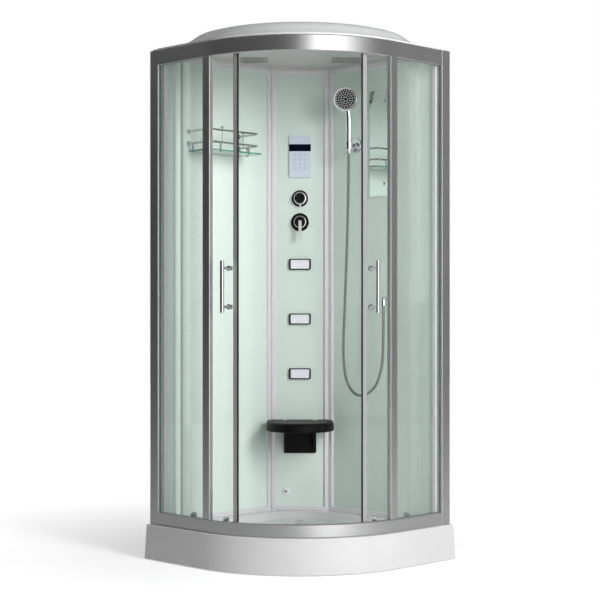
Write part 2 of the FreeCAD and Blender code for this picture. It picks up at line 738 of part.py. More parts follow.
def column_frame():
    """Frame of the diagonal column, with the two strips that close the corners to the walls."""
    members = panel_frame(-COL_HALF, COL_HALF, COL_IN, COL_IN + WALL_T, COL_GLASS, WALL_FOOT,
                          WALL_HEAD, WALL_FACE)
    s = math.sqrt(0.5)
    gap = SEAT_GAP
    # wedge between the wall frame's end face and the column frame's side, in plan
    side_u = -COL_HALF - gap
    inner = ((side_u - COL_IN - 4) * s, (side_u + COL_IN + 4) * s)
    outer = ((side_u - COL_IN - WALL_T + 2) * s, (side_u + COL_IN + WALL_T - 2) * s)
    y = WALL_BACK + gap
    wedge = prism([(inner[0], y, TRAY_TOP), (inner[0], inner[1], TRAY_TOP),
                   (outer[0], outer[1], TRAY_TOP), (-WALL_IN - WALL_T, y, TRAY_TOP)],
                  (0, 0, RAIL_TOP - TRAY_TOP))
    return [diagonal(m) for m in members] + [wedge, other_side(wedge)]


SPINDLE_HOLE_R = 12.0
JET_HOLE_R = JET_BODY_R + 1
BOLT_R = 4.0
BOLT_Z = (430.0, 490.0)
BOLT_U = 30.0


def column_glass():
    """Pane of the column, drilled for the valves, jets, steam outlet and seat bracket."""
    pane = panel_glass(-COL_HALF, COL_HALF, COL_GLASS, WALL_FOOT, WALL_HEAD, WALL_FACE)
    places = [(0, z, SPINDLE_HOLE_R) for z in (DIVERTER_Z, MIXER_Z)]
    places += [(0, z, JET_HOLE_R) for z in JET_Z]
    places += [(STEAM_U, STEAM_Z, STEAM_R - 4)]
    places += [(u, z, BOLT_R + SEAT_GAP) for u in (-BOLT_U, BOLT_U) for z in BOLT_Z]
    holes = [rod(r, (u, COL_FACE - 1, z), (u, COL_REAR + 1, z)) for u, z, r in places]
    return diagonal(cut(pane, holes))


# ======== roof ========

def ceiling_panel():
    """Ceiling on top of the frame, with a lip that hangs down inside the walls and column."""
    z0 = RAIL_TOP
    plate = Part.Face(quadrant(CEIL_INSET, z0)).extrude(V(0, 0, CEIL_T))
    gap = SEAT_GAP
    wall = WALL_IN - gap
    lip = box(-wall, -wall + LIP_T, WALL_FRONT, WALL_BACK - 3, LIP_Z, z0)
    d1 = COL_IN - gap
    back = diagonal(box(-COL_HALF + 6, COL_HALF - 6, d1 - LIP_T, d1, LIP_Z, z0))
    half = GRILLE_SIZE / 2
    holes = []
    for u in (-GRILLE_U, GRILLE_U):
        hole = box(u - half + 8, u + half - 8, GRILLE_D - half + 8, GRILLE_D + half - 8, z0 - 1,
                   z0 + CEIL_T + 1)
        holes.append(diagonal(hole))
    return cut(fuse([plate, lip, other_side(lip), back]), holes)


def ceiling_grilles():
    """Slatted grille of the fan on the left and perforated speaker grille on the right."""
    half = GRILLE_SIZE / 2
    z1 = RAIL_TOP
    z0 = z1 - GRILLE_T
    plates = []
    for u in (-GRILLE_U, GRILLE_U):
        plates.append(rounded_box(u - half, u + half, GRILLE_D - half, GRILLE_D + half, z0, z1, 10.0,
                                  "z"))
    slots = []
    for i in range(9):
        d = GRILLE_D - half + 16 + 11 * i
        slots.append(box(-GRILLE_U - half + 14, -GRILLE_U + half - 14, d - 2.5, d + 2.5, z0 - 1, z1 + 1))
    holes = []
    for i in range(7):
        for j in range(7):
            at_u = GRILLE_U + 13 * (i - 3)
            at_d = GRILLE_D + 13 * (j - 3)
            holes.append(rod(2.6, (at_u, at_d, z0 - 1), (at_u, at_d, z1 + 1)))
    fan = plates[0].cut(Part.makeCompound(slots))
    speaker = plates[1].cut(Part.makeCompound(holes))
    return [diagonal(fan), diagonal(speaker)]


def dome_outline(inset, z, straight):
    """Outline of the roof at one height: round corners, with a straight left beside each."""
    return quadrant(inset, z, HALF - inset - ARC_X - straight)


def roof_dome():
    """Domed roof shell that narrows upwards, with a flange on the ceiling."""
    z0 = RAIL_TOP + CEIL_T
    t = DOME_T
    skin = Part.makeLoft([dome_outline(inset, z0 + z, straight) for z, inset, straight in DOME],
                         True, False)
    rooms = [dome_outline(inset + t, z0 + z - (t if z else 1), straight) for z, inset, straight in DOME]
    room = Part.makeLoft(rooms, True, False)
    outer = Part.Face(quadrant(FLANGE_INSET, z0, 20)).extrude(V(0, 0, CEIL_T))
    hole = Part.Face(dome_outline(DOME[0][1] + t, z0, DOME[0][2])).extrude(V(0, 0, CEIL_T))
    flange = outer.cut(hole)
    return fuse([skin.cut(room), flange])


# ======== fittings on the column, drawn in (u, d) ========

def control_housing():
    """Control panel body with a shallow pocket for the display across its front."""
    d0 = COL_FACE - PANEL_T
    h = PANEL_W / 2
    body = rounded_box(-h, h, d0, COL_FACE, PANEL_Z - PANEL_H / 2, PANEL_Z + PANEL_H / 2, 5.0, "y")
    pocket = box(-h - 1, h + 1, d0 - 1, d0 + DISPLAY_T, *DISPLAY_Z)
    return diagonal(body.cut(pocket))


def control_display():
    """Dark display window, flush with the panel's front."""
    d0 = COL_FACE - PANEL_T
    h = PANEL_W / 2
    return diagonal(box(-h, h, d0, d0 + DISPLAY_T, *DISPLAY_Z))


def valve_rosettes():
    """Flat round cover plates of the diverter and the mixer, open for their spindles."""
    plates = []
    for z, r in ((DIVERTER_Z, DIVERTER_ROSETTE_R), (MIXER_Z, MIXER_ROSETTE_R)):
        plate = tube(r, SPINDLE_HOLE_R, (0, COL_FACE - ROSETTE_T, z), (0, COL_FACE, z))
        rim = [e for e in plate.Edges if len(e.Vertexes) == 1 and e.BoundBox.YMax < COL_FACE - 3]
        rim = [e for e in rim if e.Length > 2 * math.pi * (r - 1)]
        plates.append(diagonal(plate.makeFillet(1.5, rim)))
    return plates


VALVE_D1 = COL_FACE - ROSETTE_T - FIT       # back face of the knob and of the mixer cap
DIVERTER_SPINDLE = 16.0                     # how far each spindle reaches into its knob
MIXER_SPINDLE = 10.0
HUB_D = VALVE_D1 - 21.5


def diverter_knob():
    """Round knob with a small pointer at the bottom, bored for the diverter's spindle."""
    d1 = VALVE_D1
    d0 = d1 - KNOB_L
    knob = rod(KNOB_R, (0, d0, DIVERTER_Z), (0, d1, DIVERTER_Z))
    front = [e for e in knob.Edges if len(e.Vertexes) == 1 and e.BoundBox.YMax < d0 + 1]
    knob = knob.makeFillet(5.0, front)
    mid = (d0 + d1) / 2
    pointer = rod(4.0, (0, mid, DIVERTER_Z - KNOB_R + 6), (0, mid, DIVERTER_Z - KNOB_R - 8))
    bore = rod(SPINDLE_R + RUN, (0, d1 - DIVERTER_SPINDLE - FIT, DIVERTER_Z), (0, d1 + 1, DIVERTER_Z))
    return diagonal(fuse([knob, pointer]).cut(bore))


def mixer_cap():
    """Turning cap of the mixer, slotted for the lever and bored for the spindle."""
    d1 = VALVE_D1
    d0 = d1 - MIXER_CAP_L
    z = MIXER_Z
    cap = rod(MIXER_CAP_R, (0, d0, z), (0, d1, z))
    front = [e for e in cap.Edges if len(e.Vertexes) == 1 and e.BoundBox.YMax < d0 + 1]
    cap = cap.makeFillet(3.0, front)
    h = LEVER_W / 2 + 0.4
    slot = box(-h, h, d0 - 1, HUB_D + LEVER_HUB_R + 0.7, z - MIXER_CAP_R - 1, z + LEVER_HUB_R + 4)
    bore = rod(SPINDLE_R + RUN, (0, d1 - MIXER_SPINDLE - FIT, z), (0, d1 + 1, z))
    pin = rod(LEVER_PIN_R, (-h - 3, HUB_D, z), (h + 3, HUB_D, z))
    return diagonal(fuse([cut(cap, [slot, bore]), pin]))


def mixer_lever():
    """Hanging lever: hub on the cap's cross pin, short arm forward, flat grip downwards."""
    z = MIXER_Z
    h = LEVER_W / 2
    d_grip = VALVE_D1 - MIXER_CAP_L - 14
    hub = rod(LEVER_HUB_R, (-h, HUB_D, z), (h, HUB_D, z))
    arm = box(-h, h, d_grip, HUB_D, z - 4, z + 6)
    grip = box(-h, h, d_grip, d_grip + LEVER_T, z - LEVER_DROP, z + 6)
    lever = fuse([hub, arm, grip])
    ends = [e for e in lever.Edges if abs(e.tangentAt(e.FirstParameter).y) > 0.99
            and e.BoundBox.ZMax < z - LEVER_DROP + 1]
    lever = lever.makeFillet(5.0, ends)
    return diagonal(lever.cut(rod(LEVER_PIN_R + RUN, (-h - 1, HUB_D, z), (h + 1, HUB_D, z))))


def jet_frames():
    """Three body-jet frames on the column glass, each open for its tilting plate."""
    d0 = COL_FACE - JET_T
    d_pin = COL_FACE - JET_PIVOT
    half_w = JET_PLATE_W / 2 + JET_GAP
    half_h = JET_PLATE_H / 2 + JET_GAP
    frames = []
    for z in JET_Z:
        frame = rounded_box(-JET_W / 2, JET_W / 2, d0, COL_FACE, z - JET_H / 2, z + JET_H / 2, 6.0, "y")
        room = rounded_box(-half_w, half_w, d0 - 1, COL_FACE + 1, z - half_h, z + half_h, 3.0, "y")
        bores = rod(JET_PIN_R + RUN, (-half_w - 3.6, d_pin, z), (half_w + 3.6, d_pin, z))
        frames.append(diagonal(cut(frame, [room, bores])))
    return frames


def jet_plate(z):
    """Tilting nozzle plate with its two trunnions and three rows of nozzles."""
    d_pin = COL_FACE - JET_PIVOT
    w = JET_PLATE_W / 2
    h = JET_PLATE_H / 2
    t = JET_PLATE_T / 2
    plate = rounded_box(-w, w, d_pin - t, d_pin + t, z - h, z + h, 3.0, "y")
    pins = rod(JET_PIN_R, (-w - JET_GAP - 3.0, d_pin, z), (w + JET_GAP + 3.0, d_pin, z))
    nozzles = []
    for i in range(6):
        for j in (-1, 1):
            at = (12.5 * (i - 2.5), z + 9 * j)
            nozzles.append(rod(1.6, (at[0], d_pin - t - 1, at[1]), (at[0], d_pin + t + 1, at[1])))
    return diagonal(cut(fuse([plate, pins]), nozzles))


def steam_outlet():
    """Steam nozzle through the column glass, with a flange, on the steam generator's front."""
    d0 = COL_FACE
    flange = Part.makeCone(STEAM_R - 4, STEAM_R, 6, V(STEAM_U, d0 - 6, STEAM_Z), V(0, 1, 0))
    body = rod(STEAM_R - 4 - SEAT_GAP, (STEAM_U, d0 - 6, STEAM_Z), (STEAM_U, BOILER_D0, STEAM_Z))
    mouth = rod(8.0, (STEAM_U, d0 - 7, STEAM_Z), (STEAM_U, BOILER_D0 - 3, STEAM_Z))
    return diagonal(fuse([flange, body]).cut(mouth))


# ======== fold-up seat ========

def seat_bracket():
    """Wall plate with two gusset cheeks, a rest under the pad, and its bolts through the glass."""
    d1 = COL_FACE
    d0 = d1 - BRACKET_T
    top = SEAT_PIN_Z + CHEEK_R - 2
    half = BRACKET_W / 2
    plate = rounded_box(-half, half, d0, d1, BRACKET_Z0, top, 8.0, "y")
    rest_z = SEAT_TOP - SEAT_T - 0.5
    outline = [(d0, BRACKET_Z0 + 10), (d0, SEAT_PIN_Z + CHEEK_R), (SEAT_PIN_D, SEAT_PIN_Z + CHEEK_R),
               (SEAT_PIN_D - CHEEK_R, SEAT_PIN_Z), (SEAT_PIN_D - CHEEK_R, rest_z),
               (SEAT_PIN_D - 40, rest_z), (SEAT_PIN_D - 40, rest_z - 8)]
    pieces = [plate]
    for side in (-1, 1):
        u0 = side * CHEEK_U - CHEEK_T / 2
        cheek = prism([(u0, d, z) for d, z in outline], (CHEEK_T, 0, 0))
        pieces.append(cheek)
    inner = CHEEK_U - CHEEK_T / 2
    pieces.append(box(-inner, inner, SEAT_PIN_D - 40, SEAT_PIN_D - 16, rest_z - 8, rest_z))
    for u in (-BOLT_U, BOLT_U):
        for z in BOLT_Z:
            pieces.append(rod(7.0, (u, d0 - 4, z), (u, d0, z)))
            pieces.append(rod(BOLT_R, (u, d0, z), (u, BOILER_D0 - 2, z)))
    bracket = fuse(pieces)
    bore = rod(SEAT_PIN_R + RUN, (-half - 5, SEAT_PIN_D, SEAT_PIN_Z), (half + 5, SEAT_PIN_D, SEAT_PIN_Z))
    return diagonal(bracket.cut(bore))


def seat_hinge_pin():
    """Hinge pin of the seat with a cap at each end."""
    u = CHEEK_U + CHEEK_T / 2 + FIT
    at = (SEAT_PIN_D, SEAT_PIN_Z)
    pin = rod(SEAT_PIN_R, (-u, *at), (u, *at))
    caps = [rod(9.0, (side * u, *at), (side * (u + 3), *at)) for side in (-1, 1)]
    return diagonal(fuse([pin] + caps))


def seat_pad():
    """D-shaped folding seat with a rounded top edge, two slots for the cheeks, and the pin bore."""
    h = SEAT_W / 2
    z0 = SEAT_TOP - SEAT_T
    c = SEAT_CORNER
    k = c * (1 - math.sqrt(0.5))
    straight = SEAT_FRONT + h
    edges = [
        Part.makeLine(V(-h, straight, z0), V(-h, SEAT_BACK - c, z0)),
        Part.Arc(V(-h, SEAT_BACK - c, z0), V(-h + k, SEAT_BACK - k, z0),
                 V(-h + c, SEAT_BACK, z0)).toShape(),
        Part.makeLine(V(-h + c, SEAT_BACK, z0), V(h - c, SEAT_BACK, z0)),
        Part.Arc(V(h - c, SEAT_BACK, z0), V(h - k, SEAT_BACK - k, z0),
                 V(h, SEAT_BACK - c, z0)).toShape(),
        Part.makeLine(V(h, SEAT_BACK - c, z0), V(h, straight, z0)),
        Part.Arc(V(h, straight, z0), V(0, SEAT_FRONT, z0), V(-h, straight, z0)).toShape()]
    pad = Part.Face(Part.Wire(edges)).extrude(V(0, 0, SEAT_T))
    top = [e for e in pad.Edges if e.BoundBox.ZMin > SEAT_TOP - 0.1]
    pad = pad.makeFillet(12.0, top)
    low = [e for e in pad.Edges if e.BoundBox.ZMax < z0 + 0.1]
    pad = pad.makeFillet(6.0, low)
    slots = []
    for side in (-1, 1):
        u0 = side * (CHEEK_U + 1) - CHEEK_T / 2 - 2.5
        slots.append(box(u0, u0 + CHEEK_T + 5, SEAT_PIN_D - CHEEK_R - 3, SEAT_BACK + 1,
                         z0 - 1, SEAT_TOP + 1))
    bore = rod(SEAT_PIN_R + RUN, (-CHEEK_U, SEAT_PIN_D, SEAT_PIN_Z), (CHEEK_U, SEAT_PIN_D, SEAT_PIN_Z))
    return diagonal(cut(pad, slots + [bore]))


# ======== bent rods and the hose ========

def bent_path(points, bend=None):
    """Straight runs joined by tangent arcs: of one radius, or as wide as the runs allow."""
    pts = [V(*p) for p in points]
    edges = []
    radii = []
    start = pts[0]
    for before, here, after in zip(pts, pts[1:], pts[2:]):
        a = before - here
        b = after - here
        half_turn = (math.pi - a.getAngle(b)) / 2
        if bend is None:
            trim = 0.45 * min(a.Length, b.Length)
            radius = trim / math.tan(half_turn)
        else:
            radius = bend
            trim = bend * math.tan(half_turn)
        radii.append(radius)
        a.normalize()
        b.normalize()
        p = here + a * trim
        q = here + b * trim
        inward = (a + b).normalize()
        mid = here + inward * (radius / math.cos(half_turn) - radius)
        edges.append(Part.makeLine(start, p))
        edges.append(Part.Arc(p, mid, q).toShape())
        start = q
    edges.append(Part.makeLine(start, pts[-1]))
    return Part.Wire(edges), radii


def bent_rod(r, points, bend=None):
    """Round rod along a bent path."""
    path, radii = bent_path(points, bend)
    first = path.Edges[0]
    ring = Part.Wire(Part.makeCircle(r, first.valueAt(first.FirstParameter),
                                     first.tangentAt(first.FirstParameter)))
    return path.makePipeShell([ring], True, False), path, radii


def shower_hose():
    """Flexible hose from the wall elbow to the handset, hanging in one loop."""
    hose, path, radii = bent_rod(HOSE_R, HOSE)
    section = math.pi * HOSE_R ** 2
    print("hose bends from", round(min(radii)), "to", round(max(radii)), "mm")
    print("hose length", round(path.Length), "volume against section x length",
          round(hose.Volume / (section * path.Length), 4))
    return hose


# ======== shelf and mirror ========

WALL_FACE_X = WALL_GLASS - GLASS / 2        # inner face of the wall glass
SHELF_X = (-WALL_FACE_X + SHELF_OFF, -WALL_FACE_X + SHELF_OFF + SHELF_DEPTH)
LOOP_Y = (SHELF_Y[0] + 10, SHELF_Y[1] - 10)
POST_AT = ((-WALL_IN + 18, LOOP_Y[0]), (-WALL_IN + 48, LOOP_Y[1]), (LOOP_X, LOOP_Y[0] + 60), (LOOP_X, LOOP_Y[1] - 60))
FINIAL_AT = ((LOOP_X, LOOP_Y[0] + 68), (-WALL_IN + 22, LOOP_Y[1]))


def shelf_glass():
    """Glass shelf with rounded corners and a hole for each post."""
    pane = rounded_box(*SHELF_X, *SHELF_Y, SHELF_Z, SHELF_Z + GLASS, 12.0, "z")
    holes = [rod(3.0 + SEAT_GAP, (x, y, SHELF_Z - 1), (x, y, SHELF_Z + GLASS + 1)) for x, y in POST_AT]
    return cut(pane, holes)


def shelf_gallery():
    """Two wire loops from wall rosettes, posts that hold the glass, two thin rods with finials."""
    wall = -WALL_FACE_X
    pieces = []
    for z in LOOP_Z:
        route = [(wall + 3, LOOP_Y[0], z), (LOOP_X, LOOP_Y[0], z), (LOOP_X, LOOP_Y[1], z),
                 (wall + 3, LOOP_Y[1], z)]
        pieces.append(bent_rod(LOOP_ROD, route, LOOP_ROUND)[0])
        for y in LOOP_Y:
            pieces.append(Part.makeCone(12.0, 9.0, 6.0, V(wall, y, z), V(1, 0, 0)))
    top = SHELF_Z + GLASS
    for x, y in POST_AT:
        pieces.append(rod(4.5, (x, y, top), (x, y, LOOP_Z[1])))
        pieces.append(rod(3.0, (x, y, SHELF_Z - 1), (x, y, top)))
        pieces.append(rod(6.0, (x, y, SHELF_Z - 4), (x, y, SHELF_Z)))
    for x, y in FINIAL_AT:
        pieces.append(rod(2.0, (x, y, LOOP_Z[1]), (x, y, LOOP_Z[0] + 10)))
        pieces.append(Part.makeSphere(5.0, V(x, y, LOOP_Z[0] + 12)))
    return fuse(pieces)


def mirror():
    """Mirror on the right wall's glass, drilled for two fixing caps, which are part of it."""
    y1 = WALL_FACE_X
    y0 = y1 - MIRROR_T
    x = sum(MIRROR_X) / 2
    plate = rounded_box(*MIRROR_X, y0, y1, *MIRROR_Z, 3.0, "y")
    caps = [rod(9.0, (x, y0 - 4, z), (x, y0, z)) for z in MIRROR_CAP_Z]
    return [plate] + caps


# ======== hand shower ========

def handset_holder():
    """Wall rosette, arm and the cup that carries the handset."""
    y1 = WALL_FACE_X
    base = Part.makeCone(HOLDER_ROSETTE_R, HOLDER_ROSETTE_R - 3, 7.0, V(HOLDER_X, y1, HOLDER_Z), V(0, -1, 0))
    boss = rod(13.0, (HOLDER_X, y1, HOLDER_Z), (HOLDER_X, y1 - 18, HOLDER_Z))
    arm = rod(9.0, (HOLDER_X, y1 - 14, HOLDER_Z), (CUP_X, CUP_Y + CUP_BORE + 1, CUP_Z))
    z0 = CUP_Z - CUP_H / 2
    cup = Part.makeCone(CUP_R - 1.5, CUP_R, CUP_H, V(CUP_X, CUP_Y, z0))
    bore = rod(CUP_BORE, (CUP_X, CUP_Y, z0 - 2), (CUP_X, CUP_Y, z0 + CUP_H + 14))
    return fuse([base, boss, arm, cup]).cut(bore)


HEAD_RISE = 196.0                  # from the cup to the middle of the head
HEAD_AT = V(CUP_X + 9.2, CUP_Y - 28.9, CUP_Z + HEAD_RISE)
HEAD_FACE = V(0.68, -0.68, -0.26)
GRIP_R = 12.0
GRIP_BEND = 150.0
HANDLE_BEND_Z = CUP_Z + 128


def handset():
    """Hand shower: nut, handle with a collar that rests on the cup, and the round head."""
    x, y = CUP_X, CUP_Y
    cup_top = CUP_Z + CUP_H / 2
    grip_r = CUP_BORE - 0.35
    nut_z = CUP_Z - NUT_DROP
    outline = [(0, nut_z), (9, nut_z), (9, nut_z + 10), (grip_r, nut_z + 16), (grip_r, cup_top + FIT),
               (14, cup_top + FIT), (14, cup_top + 5), (GRIP_R, cup_top + 8), (GRIP_R, cup_top + 12),
               (0, cup_top + 12)]
    foot = Part.Face(Part.makePolygon([V(r, 0, z) for r, z in outline + outline[:1]]))
    foot = foot.revolve(V(0, 0, 0), V(0, 0, 1), 360)
    foot.translate(V(x, y, 0))
    face = V(HEAD_FACE).normalize()
    neck = HEAD_AT - face * 24
    handle_bar = bent_rod(GRIP_R, [(x, y, cup_top + 10), (x, y, HANDLE_BEND_Z), neck], GRIP_BEND)[0]
    shell = [(0, 30), (24, 30), (34, 24), (HEAD_R - 2, 15), (HEAD_R, 12), (HEAD_R, 2),
             (HEAD_R - 2, 0), (HEAD_R - 6, 0), (HEAD_R - 8, 2), (0, 2)]
    head = Part.Face(Part.makePolygon([V(r, 0, -t) for r, t in shell + shell[:1]]))
    head = head.revolve(V(0, 0, 0), V(0, 0, 1), 360)
    nozzles = [Part.makeCylinder(1.8, 1.5, V(*nozzle_place(ring, i), -2.5))
               for ring in (1, 2, 3) for i in range(6 * ring)]
    head = fuse([head, Part.makeCompound(nozzles)])
    head.Placement = FreeCAD.Placement(HEAD_AT, FreeCAD.Rotation(V(0, 0, 1), face))
    return fuse([foot, handle_bar, Part.makeSphere(GRIP_R + 2, neck), head])


def nozzle_place(ring, i):
    """Place of one nozzle on the head's face."""
    turn = 2 * math.pi * i / (6 * ring)
    return 12.5 * ring * math.cos(turn), 12.5 * ring * math.sin(turn)


def hose_elbow():
    """Wall outlet of the hose: rosette, elbow, nut, and the nipple and nut behind the glass."""
    x, z, y = ELBOW_X, ELBOW_Z, ELBOW_Y
    y1 = WALL_FACE_X
    nut_z = ELBOW_Z - 27
    back = y1 + GLASS
    return fuse([
        Part.makeCone(27.0, 24.0, 6.0, V(x, y1, z), V(0, -1, 0)),
        rod(10.0, (x, y1, z), (x, y, z)),
        Part.makeSphere(10.0, V(x, y, z)),
        rod(10.0, (x, y, nut_z + 14), (x, y, z)),
        rod(11.5, (x, y, nut_z), (x, y, nut_z + 16)),
        rod(ELBOW_NIPPLE_R, (x, y1, z), (x, ELBOW_PIPE_Y - 6, z)),
        rod(13.0, (x, back + SEAT_GAP, z), (x, back + 8, z))])


ELBOW_NIPPLE_R = 8.0
ELBOW_PIPE_Y = WALL_IN + 44


def right_wall_glass():
    """Frosted pane of the right wall, with the hole for the hose outlet."""
    pane = other_side(wall_glass())
    hole = rod(ELBOW_NIPPLE_R + SEAT_GAP, (ELBOW_X, WALL_IN, ELBOW_Z), (ELBOW_X, WALL_IN + WALL_T, ELBOW_Z))
    return pane.cut(hole)


# ======== behind the column ========

def water_manifold():
    """Mixing valve, diverter, riser, jet bodies, hose pipe, and the hot and cold inlet spigots."""
    d = MANIFOLD_D
    pipe_r = 9.0
    face = COL_FACE - ROSETTE_T
    pieces = [rod(pipe_r, (0, d, JET_Z[-1]), (0, d, DIVERTER_Z))]
    for z in JET_Z:
        pieces.append(rod(JET_BODY_R, (0, COL_FACE, z), (0, d - 14, z)))
        pieces.append(rod(pipe_r, (0, d - 15, z), (0, d, z)))
        pieces.append(Part.makeSphere(pipe_r + 3, V(0, d, z)))
    for z, depth in ((DIVERTER_Z, DIVERTER_SPINDLE), (MIXER_Z, MIXER_SPINDLE)):
        pieces.append(rod(BODY_R, (0, COL_REAR + SEAT_GAP, z), (0, d + BODY_R, z)))
        pieces.append(rod(SPINDLE_HOLE_R - 1, (0, face + 1, z), (0, COL_REAR + 5, z)))
        pieces.append(rod(SPINDLE_R, (0, VALVE_D1 - depth, z), (0, face + 3, z)))
    pieces.append(rod(pipe_r, (-INLET_U, d, MIXER_Z), (INLET_U, d, MIXER_Z)))
    for u in (-INLET_U, INLET_U):
        pieces.append(Part.makeSphere(INLET_R + 2, V(u, d, MIXER_Z)))
        pieces.append(rod(INLET_R + 3, (u, d, MIXER_Z), (u, INLET_END - SPIGOT, MIXER_Z)))
        pieces.append(rod(INLET_R, (u, d, MIXER_Z), (u, INLET_END, MIXER_Z)))
    manifold = diagonal(fuse(pieces))
    s = math.sqrt(0.5)
    corner = (-d / s + ELBOW_PIPE_Y, ELBOW_PIPE_Y, ELBOW_Z)
    route = [(-d * s, d * s, ELBOW_Z), corner, (ELBOW_X + 10, ELBOW_PIPE_Y, ELBOW_Z)]
    return manifold.fuse(bent_rod(6.0, route, 25.0)[0]).removeSplitter()


def steam_generator():
    """Steam generator box with a lid seam, on two flanges against the column frame."""
    h = BOILER_W / 2
    d0 = BOILER_D0
    z0 = BOILER_Z0
    z1 = z0 + BOILER_H
    body = rounded_box(-h, h, d0, d0 + BOILER_T, z0, z1, 4.0, "z")
    seam = cut(box(-h - 1, h + 1, d0 + 40, d0 + 42, z0 - 1, z1 + 1), [
        box(-h + 1.5, h - 1.5, d0 + 39, d0 + 43, z0 + 1.5, z1 - 1.5)])
    d_frame = COL_IN + WALL_T
    flanges = [rounded_box(side * (COL_HALF - 17) - 15, side * (COL_HALF - 17) + 15, d_frame, d_frame + 3,
                           z0 + 20, z1 - 20, 4.0, "y") for side in (-1, 1)]
    stubs = [rod(9.0, (u, d0 + 60, z1), (u, d0 + 60, z1 + 25)) for u in (-40, 40)]
    return diagonal(fuse([body.cut(seam)] + flanges + stubs))


# ======== write the nodes ========

def build():
    """Make each node once and write it."""
    os.makedirs("parts", exist_ok=True)
    save("shower_tray", shower_tray())
    save("tray_frame", tray_frame())
    save("leveling_feet", leveling_feet())
    save("waste_body", waste_body())
    save("drain_cover", drain_cover())
    save("bottom_rail", rail(TRAY_TOP, BOTTOM_RAIL_TOP))
    save("top_rail", rail(TOP_RAIL_Z, RAIL_TOP))
    save("roller_tracks", roller_tracks())

    save("left_end_post", end_post())
    save("right_end_post", other_side(end_post()))
    save("left_mullion", mullion())
    save("right_mullion", other_side(mullion()))
    save("left_fixed_glass", fixed_glass())
    save("right_fixed_glass", other_side(fixed_glass()))
    save("left_wall_frame", wall_frame())
    save("right_wall_frame", [other_side(m) for m in wall_frame()])
    save("left_wall_glass", wall_glass())
    save("right_wall_glass", right_wall_glass())
    save("column_frame", column_frame())
    save("column_glass", column_glass())

    # the right door is drawn; the left is its mirror image
    for part, solids in (("glass", [door_glass()]), ("edge", [door_edge()]), ("seal", [door_seal()]),
                         ("hangers", door_hangers()), ("handle", [handle()])):
        save("right_door_" + part, solids)
        save("left_door_" + part, [other_side(s) for s in solids])
    for i, deg in enumerate(WHEEL_DEG):
        wheel = top_wheel(deg)
        save("right_top_wheel_" + str(i + 1), wheel)
        save("left_top_wheel_" + str(i + 1), other_side(wheel))

    save("ceiling_panel", ceiling_panel())
    save("ceiling_grilles", ceiling_grilles())
    save("roof_dome", roof_dome())

    save("control_housing", control_housing())
    save("control_display", control_display())
    save("valve_rosettes", valve_rosettes())
    save("diverter_knob", diverter_knob())
    save("mixer_cap", mixer_cap())
    save("mixer_lever", mixer_lever())
    save("jet_frames", jet_frames())
    for i, z in enumerate(JET_Z):
        save("jet_plate_" + str(i + 1), jet_plate(z))
    save("steam_outlet", steam_outlet())
    save("steam_generator", steam_generator())
    save("water_manifold", water_manifold())

    save("seat_bracket", seat_bracket())
    save("seat_hinge_pin", seat_hinge_pin())
    save("seat_pad", seat_pad())
    save("shelf_glass", shelf_glass())
    save("shelf_gallery", shelf_gallery())
    save("mirror", mirror())
    save("handset_holder", handset_holder())
    save("handset", handset())
    save("hose_elbow", hose_elbow())
    save("shower_hose", shower_hose())


build()
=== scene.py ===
"""Looks of the corner steam shower cabin: finishes, hose, printed keys, seals, screws, light."""
import math

import bmesh
import bpy
from mathutils import Matrix, Vector


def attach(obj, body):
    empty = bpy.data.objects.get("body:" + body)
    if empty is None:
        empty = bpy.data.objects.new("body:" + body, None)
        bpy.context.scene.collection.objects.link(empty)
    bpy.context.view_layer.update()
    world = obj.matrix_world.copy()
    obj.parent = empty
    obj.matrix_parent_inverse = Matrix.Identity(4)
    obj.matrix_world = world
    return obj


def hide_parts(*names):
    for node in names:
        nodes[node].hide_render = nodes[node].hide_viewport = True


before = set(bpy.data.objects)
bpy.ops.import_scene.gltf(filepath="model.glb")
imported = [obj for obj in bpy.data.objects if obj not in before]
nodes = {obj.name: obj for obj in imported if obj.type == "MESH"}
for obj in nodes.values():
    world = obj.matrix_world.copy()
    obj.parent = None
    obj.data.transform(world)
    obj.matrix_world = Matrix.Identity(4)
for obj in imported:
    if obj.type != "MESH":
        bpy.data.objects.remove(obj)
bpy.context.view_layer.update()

SCENE = bpy.context.scene
S = math.sqrt(0.5)


def diagonal(u, d, z):
    """Point in cabin coordinates from (u, d, z): u to the right, d away from the doors."""
    return Vector(((u - d) * S, (u + d) * S, z))


OUT = -diagonal(0, 1, 0)                  # out of the column, towards the doors
ACROSS = diagonal(1, 0, 0)                # to the right along the column's face
UP = Vector((0, 0, 1))

# ---- places taken from the model, in metres ----
ARC = Vector((-0.1, 0.1, 0.0))            # axis of the curved front
COLUMN_FACE = 0.432                       # front of the column glass, along d
FRAME_FACE = 0.4225                       # front of the column's frame, along d
COLUMN_FRAME_U = 0.116                    # middle of the column frame's uprights, along u
WALL_FRAME_FACE = 0.388                   # inner face of the wall frames, along x or y
WALL_FRAME_ENDS = (-0.388, 0.200)         # middle of their uprights, along the wall
HEAD_AT = Vector((-0.0368, 0.3111, 1.918))              # middle of the hand shower's rim
HEAD_WAY = Vector((0.68, -0.68, -0.26)).normalized()    # the way its face looks
FACE_R = 0.0435                           # radius of the spray face inside the rim
DRAIN_AT = diagonal(0, 0.230, 0.1200)     # middle of the drain cover's top


# ======== camera ========

SENSOR_WIDTH = 36.0                       # millimetres
PHOTO_FOCAL = 1497.4                      # pixels
PHOTO_SIZE = 600.0
HORIZON_BELOW_CENTRE = 11.1               # pixels
CAMERA_DISTANCE = 6.133
CAMERA_HEIGHT = 1.015


